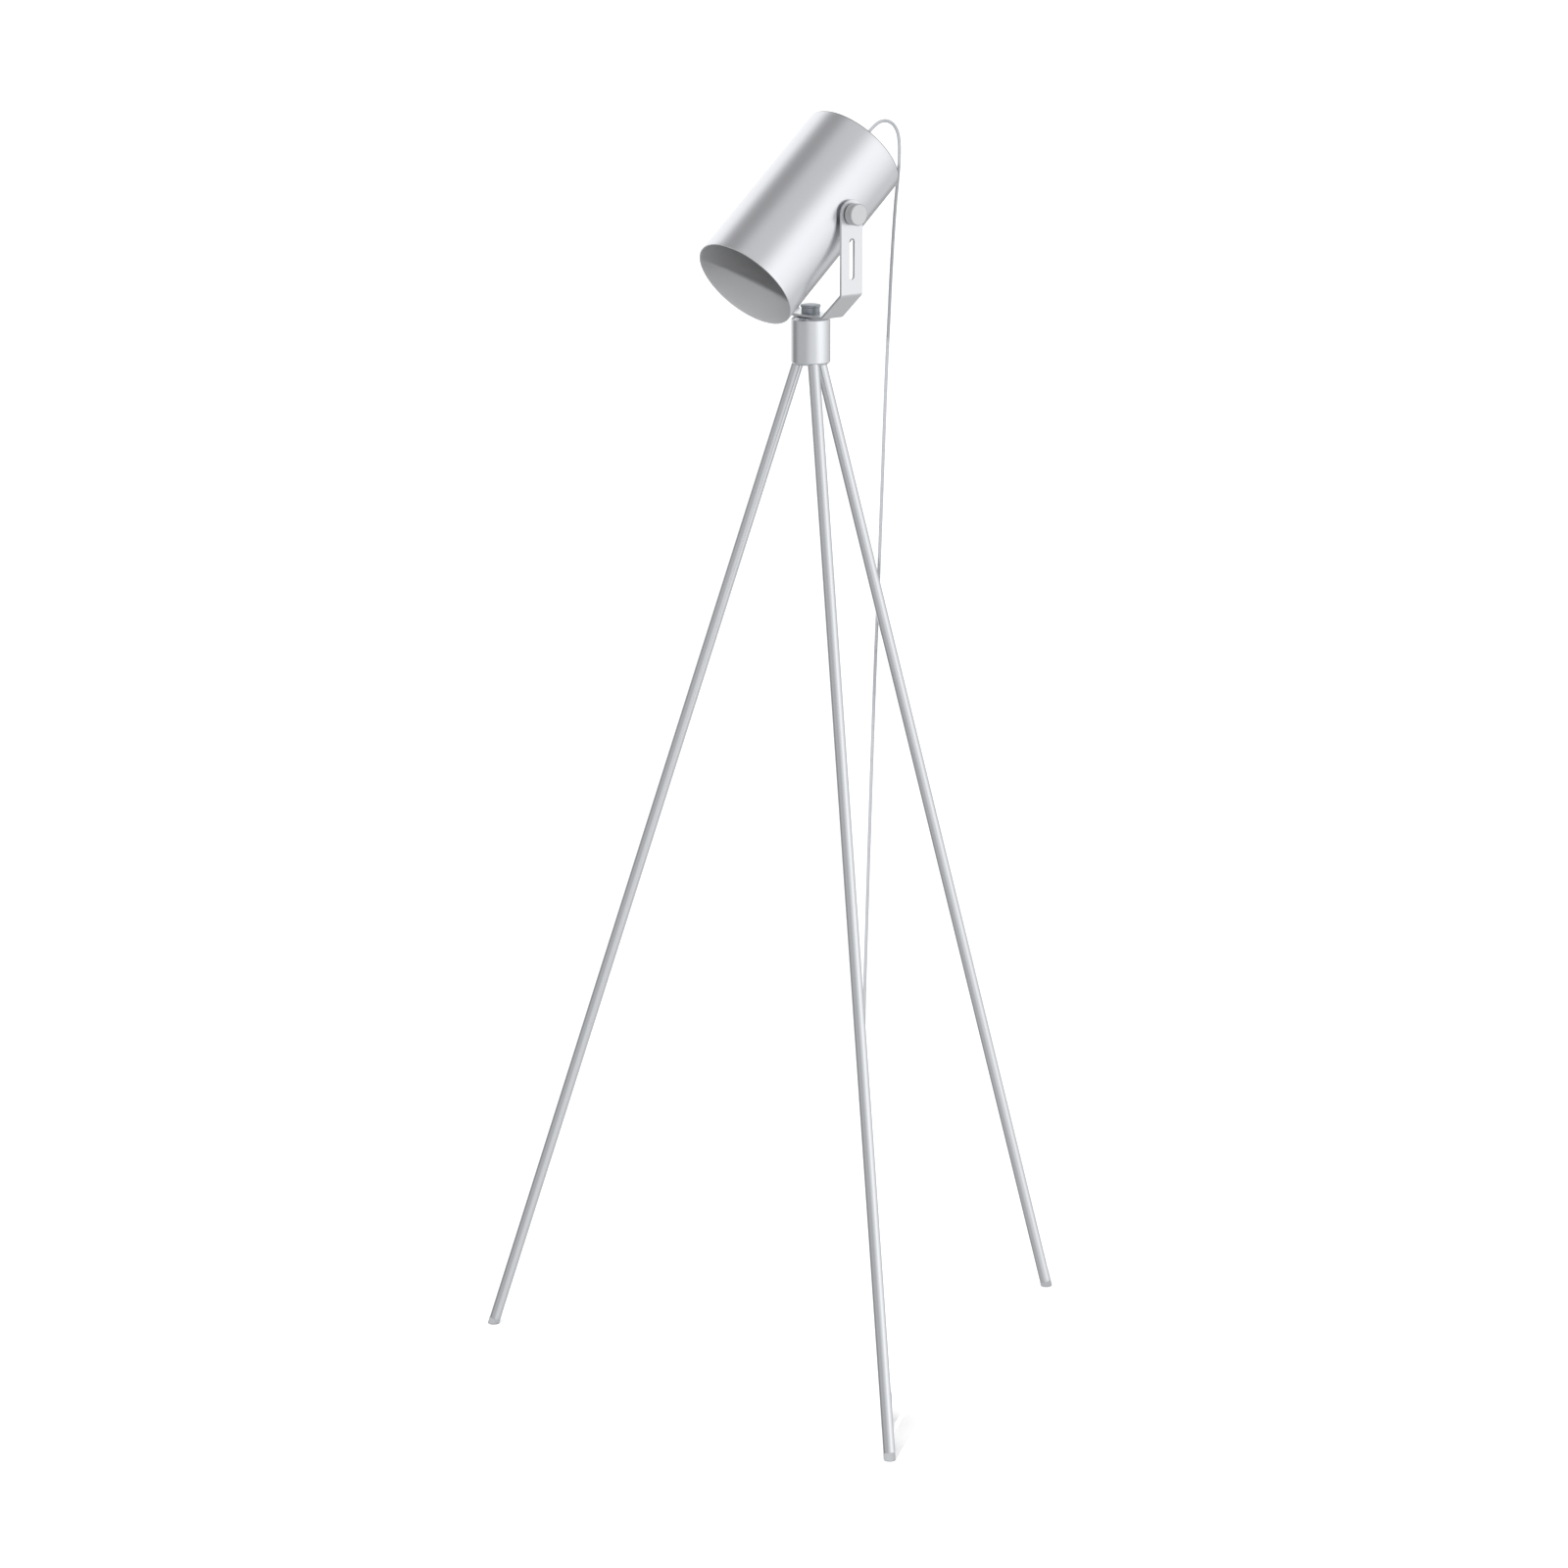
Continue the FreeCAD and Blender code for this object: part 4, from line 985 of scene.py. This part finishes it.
class LAMP_OT_fittings(bpy.types.Operator):
    """Make the cord grip, switch and lamp holder"""

    bl_idname = "lamp.fittings"
    bl_label = "Fittings"

    def execute(self, context):
        back, origin = head_back(), head_origin()
        holder = moulded_plastic("holder plastic", colour_of("black"), 0.4)
        gloss = moulded_plastic("switch plastic", colour_of("black"), 0.22, 0.00001)
        brass = turned_metal("socket brass", colour_of("brass"), 0.28, back, origin)
        steel = turned_metal("nipple steel", colour_of("steel"), 0.3, back, origin)
        self.grip(origin, back)
        self.shell(origin, back, brass)
        dress_node("nipple", steel, 0.0001)
        dress_node("nipple_nut", steel)
        dress_node("switch_body", gloss)
        dress_node("switch_rocker", gloss, 0.0003)
        dress_node("switch_wires", moulded_plastic("wire skin", colour_of("wire"), 0.4), 0.0, 40.0)
        dress_node("holder_cap", holder, 0.0003)
        dress_node("holder_body", holder, 0.0003)
        dress_node("screw_terminals", brass)
        dress_node("centre_contact", brass, 0.0001)
        dress_node("tie_mount", moulded_plastic("mount plastic", colour_of("ties"), 0.5), 0.0003)
        return {"FINISHED"}

    def grip(self, origin, back):
        """Flanged sleeve with rings: radius taper(h) + depth clip(1.6 sin(2 pi h / pitch))."""
        flange, flange_end, neck, neck_end, sleeve_start = 0.0085, 0.0088, 0.0070, 0.0093, 0.0095
        wide, narrow, mouth = 0.00635, 0.0034, 0.0033
        depth, pitch = 0.00022, 0.0032
        base = sizes().cap_face
        tip = base + sizes().grip_length
        h = np.linspace(base + sleeve_start, tip - 0.0004, 90)
        taper = np.interp(h, [base + sleeve_start, tip], [wide, narrow])
        rings = depth * np.clip(1.6 * np.sin((h - base) * 2 * np.pi / pitch), -1, 0.4)
        profile = [(0, base), (flange, base), (flange, base + flange_end), (neck, base + neck_end),
                   *zip(taper + rings, h), (mouth, tip), (0, tip)]
        made = turned_solid("cord_grip_moulded", profile, origin, back, 64, 0.00018)
        pale = moulded_plastic("grip plastic", colour_of("grip"), 0.4)
        dress(made, "head", pale, "grip_plastic", "cord_grip")

    def shell(self, origin, back, brass):
        """Socket shell whose bore carries a rolled screw thread of one start.

        The inner radius is middle + depth sin(2 pi height / pitch - turn), and the
        thread fades out at both ends.
        """
        outer, middle, depth, pitch, fade = 0.01413, 0.01375, 0.00028, 0.0036, 0.002
        floor, mouth = 0.0486, 0.0276

        def thread(turn, height, radius):
            bore = np.where(radius < (outer + middle) / 2, depth, 0.0)
            ease = np.clip(np.minimum(floor - height, height - mouth) / fade, 0, 1)
            return bore * ease * np.sin(2 * np.pi * height / pitch - turn)

        places = np.linspace(floor, mouth, 90)
        made = turned_tube(
            "socket_thread", outer, middle, places, origin, back, 128, 0.0, thread
        )
        dress(made, "head", brass, "brass", "socket_shell")


class LAMP_OT_stage(bpy.types.Operator):
    """Lay the pale floor and set the soft studio light"""

    bl_idname = "lamp.stage"
    bl_label = "Stage"

    def execute(self, context):
        self.floor()
        self.key_light((1.9, -3.1, 3.05), (0, 0, 1.35), 0.16, 110.0)
        self.sky(context.scene)
        context.scene.view_settings.view_transform = "Standard"
        return {"FINISHED"}

    def floor(self):
        """A round sheet just under the feet: one flat face, (r cos u, r sin u, height)."""
        radius, height, count = 3.0, -0.0002, 96
        u = np.linspace(0, 2 * np.pi, count, endpoint=False)
        rim = np.stack([radius * np.cos(u), radius * np.sin(u), np.full(count, height)], 1)
        piece = add_piece("studio_floor", rim, [list(range(count))], 1)
        wear(piece, studio_paper())
        piece.visible_glossy = False

    def key_light(self, place, target, size, power):
        data = bpy.data.lights.new("key", "AREA")
        data.shape = "SQUARE"
        data.size = size
        data.energy = power
        light = bpy.data.objects.new("key", data)
        bpy.context.scene.collection.objects.link(light)
        light.location = place
        light.visible_glossy = False
        light.visible_camera = False
        look = Vector(target) - Vector(place)
        light.rotation_mode = "QUATERNION"
        light.rotation_quaternion = look.to_track_quat("-Z", "Y")

    def sky(self, scene):
        """Studio light as a smooth function of direction, for shiny surfaces alone.

        The brightness is a base value plus, for each soft panel, its gain times a
        smooth step of the dot product of the direction with the panel's own. All
        else, and the camera, sees plain white.
        """
        world = bpy.data.worlds.new("studio")
        scene.world = world
        world.use_nodes = True
        recipe = Recipe(world.node_tree, "Generated")
        light = None
        for direction, low, high, gain in STUDIO_PANELS:
            panel = recipe.along(Vector(direction).normalized()).smooth_above(low, high) * gain
            light = panel + STUDIO_BASE if light is None else light + panel
        path = recipe.node("ShaderNodeLightPath", {}, {})
        seen = recipe.node(
            "ShaderNodeMix", {"data_type": "FLOAT"},
            {0: path.outputs["Is Glossy Ray"], 2: STUDIO_PLAIN, 3: light},
        )
        background = world.node_tree.nodes["Background"]
        recipe.feed(background.inputs["Color"], (1.0, 1.0, 1.0, 1.0))
        recipe.feed(background.inputs["Strength"], seen.outputs[0])


class LAMP_PT_panel(bpy.types.Panel):
    """Lists the lamp's sizes, colours and pieces"""

    bl_idname = "LAMP_PT_panel"
    bl_label = "Lamp"
    bl_space_type = "VIEW_3D"
    bl_region_type = "UI"
    bl_category = "Lamp"

    def draw(self, context):
        for group in (context.scene.lamp_sizes, context.scene.lamp_colours):
            box = self.layout.box()
            for key in type(group).__annotations__:
                box.prop(group, key)
        for operator in OPERATORS:
            self.layout.operator(operator.bl_idname)


OPERATORS = (
    LAMP_OT_camera, LAMP_OT_cord, LAMP_OT_tripod, LAMP_OT_bracket,
    LAMP_OT_knobs, LAMP_OT_shade, LAMP_OT_fittings, LAMP_OT_stage,
)
CLASSES = (LampSizes, LampColours, *OPERATORS, LAMP_PT_panel)


def register():
    for item in CLASSES:
        bpy.utils.register_class(item)
    bpy.types.Scene.lamp_sizes = bpy.props.PointerProperty(type=LampSizes)
    bpy.types.Scene.lamp_colours = bpy.props.PointerProperty(type=LampColours)


def unregister():
    del bpy.types.Scene.lamp_colours
    del bpy.types.Scene.lamp_sizes
    for item in reversed(CLASSES):
        bpy.utils.unregister_class(item)


def main():
    register()
    bpy.ops.lamp.camera()
    bpy.ops.lamp.cord()
    bpy.ops.lamp.tripod()
    bpy.ops.lamp.bracket()
    bpy.ops.lamp.knobs()
    bpy.ops.lamp.shade()
    bpy.ops.lamp.fittings()
    bpy.ops.lamp.stage()


if __name__ == "__main__":
    main()
